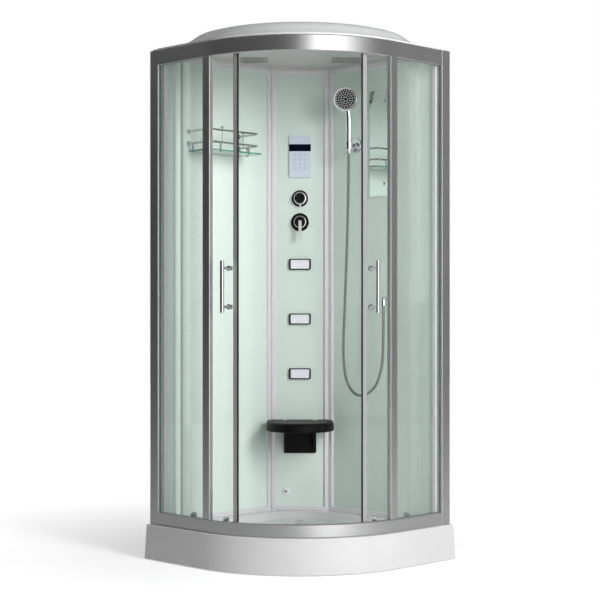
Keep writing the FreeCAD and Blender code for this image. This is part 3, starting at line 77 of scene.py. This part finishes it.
def make_camera():
    """Camera at the photograph's viewing angle, level, on the cabin's diagonal."""
    data = bpy.data.cameras.new("camera")
    data.sensor_width = SENSOR_WIDTH
    data.lens = PHOTO_FOCAL / PHOTO_SIZE * data.sensor_width
    data.shift_y = HORIZON_BELOW_CENTRE / PHOTO_SIZE
    camera = bpy.data.objects.new("camera", data)
    camera.location = diagonal(0, -CAMERA_DISTANCE, CAMERA_HEIGHT)
    camera.rotation_euler = (math.radians(90), 0, math.radians(45))
    SCENE.collection.objects.link(camera)
    SCENE.camera = camera


# ======== materials ========

def new_material(name):
    """Empty node material: returns it, its node tree and its main shader."""
    mat = bpy.data.materials.new(name)
    mat.use_nodes = True
    tree = mat.node_tree
    shader = tree.nodes["Principled BSDF"]
    return mat, tree, shader


def add_noise(tree, scale, detail=4.0, stretch=(1, 1, 1)):
    """Noise over the object's own coordinates, stretched along an axis."""
    coord = tree.nodes.new("ShaderNodeTexCoord")
    mapping = tree.nodes.new("ShaderNodeMapping")
    mapping.inputs["Scale"].default_value = stretch
    noise = tree.nodes.new("ShaderNodeTexNoise")
    noise.inputs["Scale"].default_value = scale
    noise.inputs["Detail"].default_value = detail
    tree.links.new(coord.outputs["Object"], mapping.inputs["Vector"])
    tree.links.new(mapping.outputs["Vector"], noise.inputs["Vector"])
    return noise.outputs["Fac"]


def map_range(tree, source, low, high, from_low=0.3, from_high=0.7):
    """Scale a factor to a range."""
    node = tree.nodes.new("ShaderNodeMapRange")
    node.inputs["From Min"].default_value = from_low
    node.inputs["From Max"].default_value = from_high
    node.inputs["To Min"].default_value = low
    node.inputs["To Max"].default_value = high
    tree.links.new(source, node.inputs["Value"])
    return node.outputs["Result"]


def mix_colours(tree, factor, dark, light):
    """Blend two colours by a factor."""
    node = tree.nodes.new("ShaderNodeMix")
    node.data_type = "RGBA"
    node.inputs["A"].default_value = (*dark, 1)
    node.inputs["B"].default_value = (*light, 1)
    tree.links.new(factor, node.inputs["Factor"])
    return node.outputs["Result"]


def add_bump(tree, shader, height, strength, distance):
    """Bump on the shader's normal."""
    bump = tree.nodes.new("ShaderNodeBump")
    bump.inputs["Strength"].default_value = strength
    bump.inputs["Distance"].default_value = distance
    tree.links.new(height, bump.inputs["Height"])
    tree.links.new(bump.outputs["Normal"], shader.inputs["Normal"])


def finish_material(name, dark, light, rough, metallic=0.0, scale=30.0, stretch=(1, 1, 1), bump=0.0,
                    bump_distance=0.0005, coat=0.0, specular=0.5):
    """Opaque finish with colour and roughness that vary over a noise."""
    mat, tree, shader = new_material(name)
    noise = add_noise(tree, scale, 5.0, stretch)
    spread = map_range(tree, noise, 0, 1)
    tree.links.new(mix_colours(tree, spread, dark, light), shader.inputs["Base Color"])
    tree.links.new(map_range(tree, noise, rough[0], rough[1]), shader.inputs["Roughness"])
    shader.inputs["Metallic"].default_value = metallic
    shader.inputs["Specular IOR Level"].default_value = specular
    shader.inputs["Coat Weight"].default_value = coat
    if bump:
        add_bump(tree, shader, noise, bump, bump_distance)
    return mat


def math_node(tree, operation, first, second=0.5):
    """Arithmetic on sockets or numbers."""
    node = tree.nodes.new("ShaderNodeMath")
    node.operation = operation
    for socket, value in zip(node.inputs, (first, second)):
        if isinstance(value, (int, float)):
            socket.default_value = value
        else:
            tree.links.new(value, socket)
    return node.outputs["Value"]


def pane_edge(tree, shape):
    """1 on the narrow edges of a pane, 0 on its broad faces; shape says which way the pane faces."""
    coord = tree.nodes.new("ShaderNodeTexCoord")
    facing = tree.nodes.new("ShaderNodeVectorMath")
    facing.operation = "DOT_PRODUCT"
    tree.links.new(coord.outputs["Normal"], facing.inputs[0])
    if shape == "curved":
        away = tree.nodes.new("ShaderNodeVectorMath")
        away.operation = "SUBTRACT"
        away.inputs[1].default_value = ARC
        flat = tree.nodes.new("ShaderNodeVectorMath")
        flat.operation = "MULTIPLY"
        flat.inputs[1].default_value = (1, 1, 0)
        unit = tree.nodes.new("ShaderNodeVectorMath")
        unit.operation = "NORMALIZE"
        tree.links.new(coord.outputs["Object"], away.inputs[0])
        tree.links.new(away.outputs["Vector"], flat.inputs[0])
        tree.links.new(flat.outputs["Vector"], unit.inputs[0])
        tree.links.new(unit.outputs["Vector"], facing.inputs[1])
    else:
        facing.inputs[1].default_value = {"x": (1, 0, 0), "y": (0, 1, 0), "z": (0, 0, 1)}[shape]
    size = math_node(tree, "ABSOLUTE", facing.outputs["Value"])
    return map_range(tree, size, 1.0, 0.0, 0.6, 0.9)


def glass_material(name, shape, clear=0.03):
    """Clear pane: see-through face on, more mirror-like at a glancing angle, deep green at its edges."""
    mat, tree, shader = new_material(name)
    edge = pane_edge(tree, shape)
    tree.links.new(mix_colours(tree, edge, (0.80, 0.90, 0.85), (0.04, 0.24, 0.15)),
                   shader.inputs["Base Color"])
    noise = add_noise(tree, 9.0)
    tree.links.new(map_range(tree, noise, 0.015, 0.035), shader.inputs["Roughness"])
    tree.links.new(map_range(tree, edge, 0.65, 0.0, 0, 1), shader.inputs["Metallic"])
    weight = tree.nodes.new("ShaderNodeLayerWeight")
    weight.inputs["Blend"].default_value = 0.30
    pane = map_range(tree, weight.outputs["Facing"], clear, 0.80, 0.20, 1.0)
    tree.links.new(math_node(tree, "MAXIMUM", pane, math_node(tree, "MULTIPLY", edge, 0.85)),
                   shader.inputs["Alpha"])
    return mat


def strip_material(name):
    """Clear soft plastic strip."""
    mat, tree, shader = new_material(name)
    noise = add_noise(tree, 60.0)
    tree.links.new(mix_colours(tree, map_range(tree, noise, 0, 1), (0.62, 0.70, 0.66), (0.70, 0.77, 0.73)),
                   shader.inputs["Base Color"])
    tree.links.new(map_range(tree, noise, 0.18, 0.26), shader.inputs["Roughness"])
    tree.links.new(map_range(tree, noise, 0.38, 0.46), shader.inputs["Alpha"])
    return mat


def frosted_material(name, dark, light):
    """Mint glass panel with a satin back: soft colour, gloss on the face, faint vertical drift."""
    mat, tree, shader = new_material(name)
    noise = add_noise(tree, 2.5, 2.0, (1, 1, 0.25))
    tree.links.new(mix_colours(tree, map_range(tree, noise, 0, 1), dark, light),
                   shader.inputs["Base Color"])
    fine = add_noise(tree, 900.0, 2.0)
    tree.links.new(map_range(tree, fine, 0.16, 0.26), shader.inputs["Roughness"])
    shader.inputs["Specular IOR Level"].default_value = 0.55
    shader.inputs["Coat Weight"].default_value = 0.6
    shader.inputs["Coat Roughness"].default_value = 0.05
    return mat


def brushed_material(name, dark, light, along):
    """Brushed aluminium: very fine lines along one axis, in colour, roughness and bump."""
    stretch = {"z": (1, 1, 0.02), "xy": (0.02, 0.02, 1)}[along]
    return finish_material(name, dark, light, (0.30, 0.34), 1.0, 900.0, stretch, 0.03, 0.0001)


FACE_FADE = (-0.0032, -0.0030)            # depth behind the rim at which the face's colour begins
FACE_EDGE = 0.0004                        # width over which that colour ends at the rim


def handset_material():
    """Chrome hand shower with a dark spray face set into its head."""
    mat, tree, shader = new_material("handset_chrome")
    coord = tree.nodes.new("ShaderNodeTexCoord")
    away = tree.nodes.new("ShaderNodeVectorMath")
    away.operation = "SUBTRACT"
    away.inputs[1].default_value = HEAD_AT
    along = tree.nodes.new("ShaderNodeVectorMath")
    along.operation = "DOT_PRODUCT"
    along.inputs[1].default_value = HEAD_WAY
    reach = tree.nodes.new("ShaderNodeVectorMath")
    reach.operation = "LENGTH"
    tree.links.new(coord.outputs["Object"], away.inputs[0])
    tree.links.new(away.outputs["Vector"], along.inputs[0])
    tree.links.new(away.outputs["Vector"], reach.inputs[0])
    front = map_range(tree, along.outputs["Value"], 0, 1, *FACE_FADE)
    within = map_range(tree, reach.outputs["Value"], 1, 0, FACE_R - FACE_EDGE, FACE_R)
    face = math_node(tree, "MULTIPLY", front, within)
    noise = add_noise(tree, 40.0)
    tree.links.new(mix_colours(tree, face, (0.74, 0.75, 0.76), (0.030, 0.032, 0.035)),
                   shader.inputs["Base Color"])
    tree.links.new(map_range(tree, face, 1.0, 0.0, 0, 1), shader.inputs["Metallic"])
    tree.links.new(math_node(tree, "ADD", map_range(tree, face, 0.04, 0.24, 0, 1),
                             map_range(tree, noise, 0.0, 0.04)), shader.inputs["Roughness"])
    return mat


def make_materials():
    """Every finish of the cabin."""
    return {
        "acrylic": finish_material("white_acrylic", (0.62, 0.62, 0.62), (0.67, 0.67, 0.67), (0.16, 0.24),
                                   scale=6.0, coat=0.5),
        "alu_up": brushed_material("aluminium_upright", (0.60, 0.60, 0.605), (0.64, 0.64, 0.645), "z"),
        "alu_round": brushed_material("aluminium_rail", (0.60, 0.60, 0.605), (0.64, 0.64, 0.645), "xy"),
        "chrome": finish_material("chrome", (0.76, 0.77, 0.78), (0.82, 0.83, 0.84), (0.05, 0.09), 1.0, 14.0),
        # Wall and column frames: a paler, less metallic copy of the aluminium, with a painted highlight in
        # its colour.
        "alu_painted_highlight": finish_material("aluminium_painted_highlight", (0.79, 0.78, 0.81), (0.83, 0.82, 0.85),
                                     (0.28, 0.36), 0.25, 60.0),
        # Door edge profiles: a darker, less metallic copy of the aluminium, with painted shade in its
        # colour.
        "alu_painted_shade": finish_material("aluminium_painted_shade", (0.42, 0.42, 0.43), (0.46, 0.46, 0.47),
                                    (0.30, 0.32), 0.45, 900.0, (1, 1, 0.02)),
        # Shelf gallery wires: a darker copy of the chrome, with painted shade in its colour.
        "wire": finish_material("wire_chrome_painted_shade", (0.44, 0.45, 0.46), (0.50, 0.51, 0.52),
                                (0.06, 0.12), 1.0, 14.0),
        "satin": finish_material("satin_chrome", (0.70, 0.72, 0.71), (0.78, 0.80, 0.79),
                                 (0.24, 0.32), 0.55, 30.0),
        "jet": finish_material("jet_white", (0.84, 0.84, 0.90), (0.88, 0.88, 0.94),
                               (0.20, 0.28), scale=50.0),
        "steel": finish_material("galvanised_steel", (0.30, 0.31, 0.33), (0.44, 0.45, 0.47), (0.35, 0.55),
                                 0.9, 60.0, bump=0.1),
        "clear_left": glass_material("clear_glass_left", "y"),
        "clear_right": glass_material("clear_glass_right", "x"),
        "clear_curved": glass_material("clear_glass_curved", "curved"),
        "clear_shelf": glass_material("clear_glass_shelf", "z", 0.16),
        "mint": frosted_material("mint_glass", (0.68, 0.785, 0.73), (0.73, 0.83, 0.775)),
        "roof": finish_material("roof_acrylic", (0.57, 0.58, 0.58), (0.62, 0.63, 0.63), (0.20, 0.30),
                                scale=8.0, coat=0.3),
        "ceiling": finish_material("ceiling_acrylic", (0.62, 0.61, 0.60), (0.67, 0.66, 0.65), (0.42, 0.50),
                                   scale=8.0, specular=0.3),
        "grille": finish_material("ceiling_grille", (0.34, 0.34, 0.34), (0.40, 0.40, 0.40), (0.40, 0.50),
                                  scale=40.0),
        "panel": finish_material("panel_silver", (0.58, 0.645, 0.735), (0.61, 0.675, 0.765), (0.30, 0.38),
                                 0.0, 700.0),
        "display": finish_material("display_window", (0.002, 0.004, 0.012), (0.003, 0.006, 0.017),
                                   (0.03, 0.06), scale=20.0, specular=0.4),
        "black": finish_material("black_plastic", (0.002, 0.002, 0.002), (0.005, 0.005, 0.005),
                                 (0.40, 0.50), scale=700.0, bump=0.2, bump_distance=0.0002, specular=0.15),
        "handset": handset_material(),
        "white": finish_material("white_plastic", (0.78, 0.79, 0.79), (0.85, 0.86, 0.86), (0.22, 0.32),
                                 scale=40.0),
        "rubber": finish_material("seal_rubber", (0.012, 0.012, 0.012), (0.022, 0.022, 0.022),
                                  (0.5, 0.65), scale=200.0, bump=0.1),
        "mirror": finish_material("mirror_silver", (0.70, 0.75, 0.73), (0.73, 0.78, 0.76), (0.01, 0.03),
                                  1.0, 5.0),
        "brass": finish_material("brass", (0.50, 0.38, 0.17), (0.62, 0.48, 0.24), (0.25, 0.4), 1.0, 50.0),
        "foot": finish_material("foot_nylon", (0.02, 0.02, 0.02), (0.035, 0.035, 0.035), (0.45, 0.6),
                                scale=120.0, bump=0.1),
        "nozzle": finish_material("nozzle_rubber", (0.50, 0.51, 0.51), (0.58, 0.59, 0.59), (0.5, 0.6),
                                  scale=90.0),
        "print": finish_material("key_print", (0.03, 0.035, 0.045), (0.06, 0.065, 0.08), (0.3, 0.4),
                                 scale=100.0),
        "strip": strip_material("clear_strip"),
    }


NODE_FINISH = {
    "acrylic": ("shower_tray", "waste_body"),
    "alu_up": ("left_end_post", "right_end_post", "left_mullion", "right_mullion"),
    # the frames' aluminium carries a painted highlight in its colour
    "alu_painted_highlight": ("left_wall_frame", "right_wall_frame", "column_frame"),
    # the door edges' aluminium carries painted shade in its colour
    "alu_painted_shade": ("left_door_edge", "right_door_edge"),
    "alu_round": ("top_rail", "bottom_rail", "roller_tracks"),
    "chrome": ("left_door_handle", "right_door_handle", "left_door_hangers", "right_door_hangers",
               "valve_rosettes", "seat_hinge_pin", "handset_holder", "hose_elbow", "drain_cover",
               "mixer_cap", "diverter_knob"),
    "satin": ("mixer_lever",),
    # the gallery's chrome carries painted shade in its colour
    "wire": ("shelf_gallery",),
    "handset": ("handset",),
    "steel": ("tray_frame", "steam_generator"),
    "clear_left": ("left_fixed_glass",),
    "clear_right": ("right_fixed_glass",),
    "clear_curved": ("left_door_glass", "right_door_glass"),
    "clear_shelf": ("shelf_glass",),
    "mint": ("left_wall_glass", "right_wall_glass", "column_glass"),
    "roof": ("roof_dome",),
    "ceiling": ("ceiling_panel",),
    "grille": ("ceiling_grilles",),
    "jet": ("jet_plate_1", "jet_plate_2", "jet_plate_3"),
    "white": ("steam_outlet", "left_top_wheel_1", "left_top_wheel_2", "right_top_wheel_1",
              "right_top_wheel_2"),
    "panel": ("control_housing",),
    "display": ("control_display",),
    "black": ("seat_pad", "seat_bracket", "jet_frames"),
    "rubber": ("left_door_seal", "right_door_seal"),
    "mirror": ("mirror",),
    "brass": ("water_manifold",),
    "foot": ("leveling_feet",),
}


def paint_nodes(finishes):
    """Give each carried-over node its finish."""
    for finish, names in NODE_FINISH.items():
        for name in names:
            mesh = nodes[name].data
            mesh.materials.clear()
            mesh.materials.append(finishes[finish])


# ======== mesh helpers ========

SMOOTH_ANGLE = 35                         # degrees; sharper edges stay sharp


def new_piece(name, mesh, body, finish):
    """Object from a mesh: rides on a body and takes a finish."""
    obj = bpy.data.objects.new(name, mesh)
    SCENE.collection.objects.link(obj)
    mesh.materials.clear()
    mesh.materials.append(finish)
    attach(obj, body)


def mesh_from(name, bm):
    """Mesh from a bmesh, smooth but for its sharp edges."""
    bmesh.ops.recalc_face_normals(bm, faces=bm.faces)
    mesh = bpy.data.meshes.new(name)
    bm.to_mesh(mesh)
    bm.free()
    mesh.polygons.foreach_set("use_smooth", [True] * len(mesh.polygons))
    mesh.set_sharp_from_angle(angle=math.radians(SMOOTH_ANGLE))
    return mesh


def turned(bm, centre, out, profile, steps=32):
    """Revolved piece: (radius, height) profile about an axis, closed at its ends."""
    side = out.orthogonal().normalized()
    other = out.cross(side)
    rings = []
    for r, h in profile:
        if r == 0:
            rings.append([bm.verts.new(centre + out * h)])
            continue
        rings.append([bm.verts.new(centre + out * h + (side * math.cos(a) + other * math.sin(a)) * r)
                      for a in (2 * math.pi * i / steps for i in range(steps))])
    for low, high in zip(rings, rings[1:]):
        for i in range(steps):
            j = (i + 1) % steps
            if len(low) == 1:
                bm.faces.new((low[0], high[j], high[i]))
            elif len(high) == 1:
                bm.faces.new((low[i], low[j], high[0]))
            else:
                bm.faces.new((low[i], low[j], high[j], high[i]))


# ======== hose ========

HOSE_POINTS = ((0.144, 0.350, 1.038), (0.144, 0.350, 0.960), (0.143, 0.350, 0.880),
               (0.140, 0.349, 0.800), (0.127, 0.348, 0.745), (0.108, 0.347, 0.705),
               (0.078, 0.346, 0.676), (0.045, 0.3455, 0.660), (0.008, 0.345, 0.655),
               (-0.022, 0.344, 0.666), (-0.047, 0.343, 0.692), (-0.066, 0.342, 0.730),
               (-0.075, 0.341, 0.785), (-0.078, 0.340, 0.855), (-0.074, 0.339, 0.930),
               (-0.068, 0.339, 1.030), (-0.061, 0.339, 1.170), (-0.054, 0.339, 1.320),
               (-0.049, 0.339, 1.460), (-0.046, 0.3395, 1.590), (-0.046, 0.340, 1.690))
HOSE_DIAMETER = 0.012


def hose_material():
    """Wound metal hose: bright ridges, with painted shade darkening the grooves between them."""
    mat, tree, shader = new_material("hose_metal")
    coord = tree.nodes.new("ShaderNodeTexCoord")
    wave = tree.nodes.new("ShaderNodeTexWave")
    wave.bands_direction = "Z"
    wave.inputs["Scale"].default_value = 95.0
    wave.inputs["Distortion"].default_value = 0.0
    tree.links.new(coord.outputs["Object"], wave.inputs["Vector"])
    # the dark colour in the grooves is painted shade; the ridges keep the metal's colour
    tree.links.new(mix_colours(tree, wave.outputs["Fac"], (0.10, 0.105, 0.11), (0.62, 0.63, 0.64)),
                   shader.inputs["Base Color"])
    tree.links.new(map_range(tree, wave.outputs["Fac"], 0.30, 0.14, 0, 1), shader.inputs["Roughness"])
    shader.inputs["Metallic"].default_value = 1.0
    add_bump(tree, shader, wave.outputs["Fac"], 0.7, 0.0008)
    return mat


def make_hose():
    """Hose as one smooth curve, from the wall elbow to the hand shower."""
    data = bpy.data.curves.new("shower_hose_line", "CURVE")
    data.dimensions = "3D"
    spline = data.splines.new("NURBS")
    spline.points.add(len(HOSE_POINTS) - 1)
    for point, place in zip(spline.points, HOSE_POINTS):
        point.co = (*place, 1)
    spline.order_u = 3
    spline.use_endpoint_u = True
    data.resolution_u = 10
    data.bevel_depth = HOSE_DIAMETER / 2
    data.bevel_resolution = 6
    data.use_fill_caps = True
    data.materials.append(hose_material())
    hose = bpy.data.objects.new("shower_hose_line", data)
    SCENE.collection.objects.link(hose)
    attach(hose, "cabin")
    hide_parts("shower_hose")


# ======== control panel print ========

PANEL_FRONT = COLUMN_FACE - 0.008
PRINT_LIFT = 0.00025                      # print in front of the panel
KEY_PITCH = 0.0224                        # between columns of keys
KEY_ROWS = (1.6987, 1.6794, 1.6601, 1.6408)
KEY_R = 0.0062
LINE = 0.0003                             # printed line of a key's ring
STROKE = 0.0011                           # printed stroke of a key's mark


def ring_print(bm, centre, r_out, r_in, steps=24):
    """Flat printed ring on the panel."""
    outer = []
    inner = []
    for i in range(steps):
        a = 2 * math.pi * i / steps
        way = ACROSS * math.cos(a) + UP * math.sin(a)
        outer.append(bm.verts.new(centre + way * r_out))
        inner.append(bm.verts.new(centre + way * r_in))
    for i in range(steps):
        j = (i + 1) % steps
        bm.faces.new((outer[i], outer[j], inner[j], inner[i]))


def bar_print(bm, centre, width, height, turn=0.0):
    """Flat printed bar on the panel."""
    right = ACROSS * math.cos(turn) + UP * math.sin(turn)
    up = UP * math.cos(turn) - ACROSS * math.sin(turn)
    corners = ((-1, -1), (1, -1), (1, 1), (-1, 1))
    bm.faces.new([bm.verts.new(centre + right * (x * width / 2) + up * (y * height / 2))
                  for x, y in corners])


def cross_print(bm, centre, length, turn=0.0):
    """Two printed strokes that cross."""
    bar_print(bm, centre, length, STROKE, turn)
    bar_print(bm, centre, STROKE, length, turn)


def make_key_print(finishes):
    """Four rows of three printed touch keys: a ring each, with a plain mark inside."""
    bm = bmesh.new()
    depth = PANEL_FRONT - PRINT_LIFT
    for row, z in enumerate(KEY_ROWS):
        for col in (-1, 0, 1):
            at = diagonal(col * KEY_PITCH, depth, z)
            ring_print(bm, at, KEY_R, KEY_R - LINE)
            kind = (row * 3 + col + 1) % 4
            if kind == 0:
                ring_print(bm, at, 0.0017, 0.0002)
            elif kind == 1:
                cross_print(bm, at, 0.0036)
            elif kind == 2:
                for side in (-1, 1):
                    bar_print(bm, at + UP * (STROKE * side), 0.0034, 0.0010)
            else:
                cross_print(bm, at, 0.0038, math.radians(45))
    new_piece("key_print", mesh_from("key_print", bm), "cabin", finishes["print"])


# ======== seals, screws, nozzles ========

STRIP_R = (0.4992, 0.5068)                # inner and outer radius of the water strips
STRIP_Z = (0.153, 2.067)
STRIP_DEG = (74.6, 75.5)                  # from the middle of the front


def arc_strip(bm, radii, heights, degrees, steps=3):
    """Curved strip about the doors' axis."""
    (r0, r1), (z0, z1), (start, end) = radii, heights, degrees
    rings = []
    for i in range(steps + 1):
        a = math.radians(start + (end - start) * i / steps - 45)
        way = Vector((math.cos(a), math.sin(a), 0))
        rings.append([bm.verts.new(ARC + way * r + UP * z)
                      for r, z in ((r0, z0), (r1, z0), (r1, z1), (r0, z1))])
    for low, high in zip(rings, rings[1:]):
        for i in range(4):
            j = (i + 1) % 4
            bm.faces.new((low[i], low[j], high[j], high[i]))
    bm.faces.new(rings[0][::-1])
    bm.faces.new(rings[-1])


def make_trailing_seals(finishes):
    """Clear water strip on the trailing edge of each door."""
    for side, sign in (("left", -1), ("right", 1)):
        bm = bmesh.new()
        arc_strip(bm, STRIP_R, STRIP_Z, [sign * deg for deg in STRIP_DEG])
        name = side + "_door_strip"
        new_piece(name, mesh_from(name, bm), side + "_door", finishes["strip"])


SCREW_R = 0.0042
SCREW_HEIGHTS = (0.1535, 0.6, 1.1, 1.6, 2.058)


def screw(bm, centre, out):
    """Head of a pan-head screw."""
    r = SCREW_R
    turned(bm, centre, out, ((r, 0), (r, 0.0006), (r * 0.8, 0.0016), (r * 0.4, 0.0021), (0, 0.0022)), 20)


def make_frame_screws(finishes):
    """Screws of the column's frame and of both wall frames."""
    bm = bmesh.new()
    for u in (-COLUMN_FRAME_U, COLUMN_FRAME_U):
        for z in SCREW_HEIGHTS:
            screw(bm, diagonal(u, FRAME_FACE, z), OUT)
    for end in WALL_FRAME_ENDS:
        for z in SCREW_HEIGHTS:
            screw(bm, Vector((-WALL_FRAME_FACE, end, z)), Vector((1, 0, 0)))
            screw(bm, Vector((-end, WALL_FRAME_FACE, z)), Vector((0, -1, 0)))
    # the screws take the frames' aluminium with its painted highlight
    new_piece("frame_screws", mesh_from("frame_screws", bm), "cabin", finishes["alu_painted_highlight"])


NOZZLE_RINGS = 4
NOZZLE_PITCH = 0.0098                     # between rings
NOZZLES_PER_RING = 6                      # times the ring's number
NOZZLE_TWIST = 0.13                       # shift of each ring against the last, in nozzles
NOZZLE_FOOT = 0.0021                      # the nozzles' feet, behind the rim
NOZZLE_PROFILE = ((0.0, 0.0), (0.0028, 0.0), (0.0023, 0.0012), (0.0, 0.0015))


def make_spray_face(finishes):
    """Soft spray nozzles in four rings on the hand shower's face."""
    bm = bmesh.new()
    side = HEAD_WAY.cross(UP).normalized()
    other = HEAD_WAY.cross(side)
    for ring in range(1, NOZZLE_RINGS + 1):
        r = NOZZLE_PITCH * ring
        count = NOZZLES_PER_RING * ring
        for i in range(count):
            a = 2 * math.pi * (i + NOZZLE_TWIST * ring) / count
            at = HEAD_AT + (side * math.cos(a) + other * math.sin(a)) * r - HEAD_WAY * NOZZLE_FOOT
            turned(bm, at, HEAD_WAY, NOZZLE_PROFILE, 12)
    new_piece("spray_nozzles", mesh_from("spray_nozzles", bm), "handset", finishes["nozzle"])


def make_drain_detail(finishes):
    """Raised ring on the drain cover."""
    bm = bmesh.new()
    turned(bm, DRAIN_AT, UP, ((0.030, -0.0003), (0.031, 0.0008), (0.033, 0.0008), (0.034, -0.0003)), 48)
    new_piece("drain_ring", mesh_from("drain_ring", bm), "drain_cover", finishes["chrome"])


# ======== room and light ========

FLOOR_HALF = 12.0
FLOOR_Z = -0.0005                         # just under the feet
FLOOR_REACH = (0.75, 3.0)                 # distances between which the floor's added white grows
FLOOR_GLOW = (0.45, 1.0)                  # added white at those two distances


def make_floor():
    """Plain white floor that runs on into the white background and keeps the cabin's shadow."""
    bm = bmesh.new()
    bm.faces.new([bm.verts.new((x * FLOOR_HALF, y * FLOOR_HALF, FLOOR_Z))
                  for x, y in ((-1, -1), (1, -1), (1, 1), (-1, 1))])
    mesh = bpy.data.meshes.new("floor")
    bm.to_mesh(mesh)
    bm.free()
    floor = bpy.data.objects.new("floor", mesh)
    SCENE.collection.objects.link(floor)
    mat, tree, shader = new_material("floor")
    shader.inputs["Base Color"].default_value = (0.80, 0.80, 0.80, 1)
    shader.inputs["Roughness"].default_value = 0.8
    shader.inputs["Emission Color"].default_value = (1, 1, 1, 1)
    coord = tree.nodes.new("ShaderNodeTexCoord")
    length = tree.nodes.new("ShaderNodeVectorMath")
    length.operation = "LENGTH"
    tree.links.new(coord.outputs["Object"], length.inputs[0])
    glow = map_range(tree, length.outputs["Value"], *FLOOR_GLOW, *FLOOR_REACH)
    path = tree.nodes.new("ShaderNodeLightPath")
    tree.links.new(math_node(tree, "MULTIPLY", glow, path.outputs["Is Camera Ray"]),
                   shader.inputs["Emission Strength"])
    mesh.materials.append(mat)


CARD_DISTANCE = 8.0
CARD_HEIGHT = 4.0
CARD_STEP = 6                             # degrees of one flat face
RAISED_CARD = 0.05                        # how far a card with a raised foot stands before the others
# studio cards: from and to, in degrees round the cabin from behind the camera to its right; brightness; foot
CARDS = ((-140, -95.6, 0.02, 0), (-95.6, -95.2, 1.0, 0), (-95.2, -93.3, 0.12, 0), (-93.3, -92.9, 1.2, 0),
         (-92.9, 5, 0.010, 0), (5, 12, 1.5, 0), (12, 38, 3.6, 0), (38, 52, 1.6, 0), (52, 64, 0.50, 0),
         (64, 118, 0.20, 0), (92.6, 92.9, 0.5, 1.1), (92.9, 93.3, 0.9, 1.1), (93.3, 93.8, 1.6, 1.1),
         (93.8, 94.1, 1.0, 1.1), (94.1, 94.4, 0.5, 1.1))
OVERHEAD = 0.30                           # brightness of the card overhead
OVERHEAD_R = CARD_DISTANCE + 0.5


def stage_card(name, bm, brightness):
    """Card from a bmesh, which only reflections and diffuse light see."""
    mesh = bpy.data.meshes.new(name)
    bm.to_mesh(mesh)
    bm.free()
    card = bpy.data.objects.new(name, mesh)
    SCENE.collection.objects.link(card)
    card.visible_camera = False
    card.visible_transmission = False
    card.visible_shadow = False
    mat, tree, shader = new_material(name)
    shader.inputs["Base Color"].default_value = (0, 0, 0, 1)
    shader.inputs["Specular IOR Level"].default_value = 0
    shader.inputs["Emission Color"].default_value = (1, 1, 1, 1)
    shader.inputs["Emission Strength"].default_value = brightness
    mesh.materials.append(mat)
    return card


def make_cards():
    """Dark and bright cards that stand round the cabin, which metal and glass reflect."""
    for number, (start, end, brightness, foot_height) in enumerate(CARDS):
        steps = max(1, round((end - start) / CARD_STEP))
        away = CARD_DISTANCE - (RAISED_CARD if foot_height else 0)
        bm = bmesh.new()
        rows = []
        for i in range(steps + 1):
            a = math.radians(start + (end - start) * i / steps)
            foot = diagonal(math.sin(a) * away, -math.cos(a) * away, foot_height)
            top = diagonal(math.sin(a) * away, -math.cos(a) * away, CARD_HEIGHT)
            rows.append((bm.verts.new(foot), bm.verts.new(top)))
        for (low, high), (next_low, next_high) in zip(rows, rows[1:]):
            bm.faces.new((low, next_low, next_high, high))
        stage_card("card_%d" % number, bm, brightness)
    bm = bmesh.new()
    bmesh.ops.create_circle(bm, cap_ends=True, segments=48, radius=OVERHEAD_R,
                            matrix=Matrix.Translation((0, 0, CARD_HEIGHT)))
    stage_card("card_overhead", bm, OVERHEAD).visible_diffuse = False


AMBIENT = 0.28                            # even light from all round


def make_world():
    """White surround for the camera, metal and glass, and an even, dimmer light."""
    world = bpy.data.worlds.new("studio")
    SCENE.world = world
    world.use_nodes = True
    tree = world.node_tree
    background = tree.nodes["Background"]
    background.inputs["Color"].default_value = (1, 1, 1, 1)
    path = tree.nodes.new("ShaderNodeLightPath")
    seen = math_node(tree, "MAXIMUM", path.outputs["Is Camera Ray"],
                     math_node(tree, "MAXIMUM", path.outputs["Is Glossy Ray"],
                               path.outputs["Is Transmission Ray"]))
    tree.links.new(map_range(tree, seen, AMBIENT, 1.0, 0, 1), background.inputs["Strength"])


KEY_AT = diagonal(2.7, -3.75, 3.1)
KEY_AIM = diagonal(0, 0, 0.9)
KEY_SIZE = (1.6, 2.2)
KEY_POWER = 195                           # watts


def make_lights():
    """One soft key from the camera's right; the metal shows the cards instead of it."""
    data = bpy.data.lights.new("key", "AREA")
    data.shape = "RECTANGLE"
    data.size, data.size_y = KEY_SIZE
    data.energy = KEY_POWER
    key = bpy.data.objects.new("key", data)
    key.location = KEY_AT
    key.rotation_euler = (KEY_AIM - KEY_AT).to_track_quat("-Z", "Y").to_euler()
    key.visible_glossy = False
    SCENE.collection.objects.link(key)


def main():
    """Build the scene."""
    make_camera()
    finishes = make_materials()
    make_hose()
    paint_nodes(finishes)
    make_key_print(finishes)
    make_trailing_seals(finishes)
    make_frame_screws(finishes)
    make_spray_face(finishes)
    make_drain_detail(finishes)
    make_floor()
    make_cards()
    make_world()
    make_lights()
    SCENE.view_settings.view_transform = "Standard"


main()
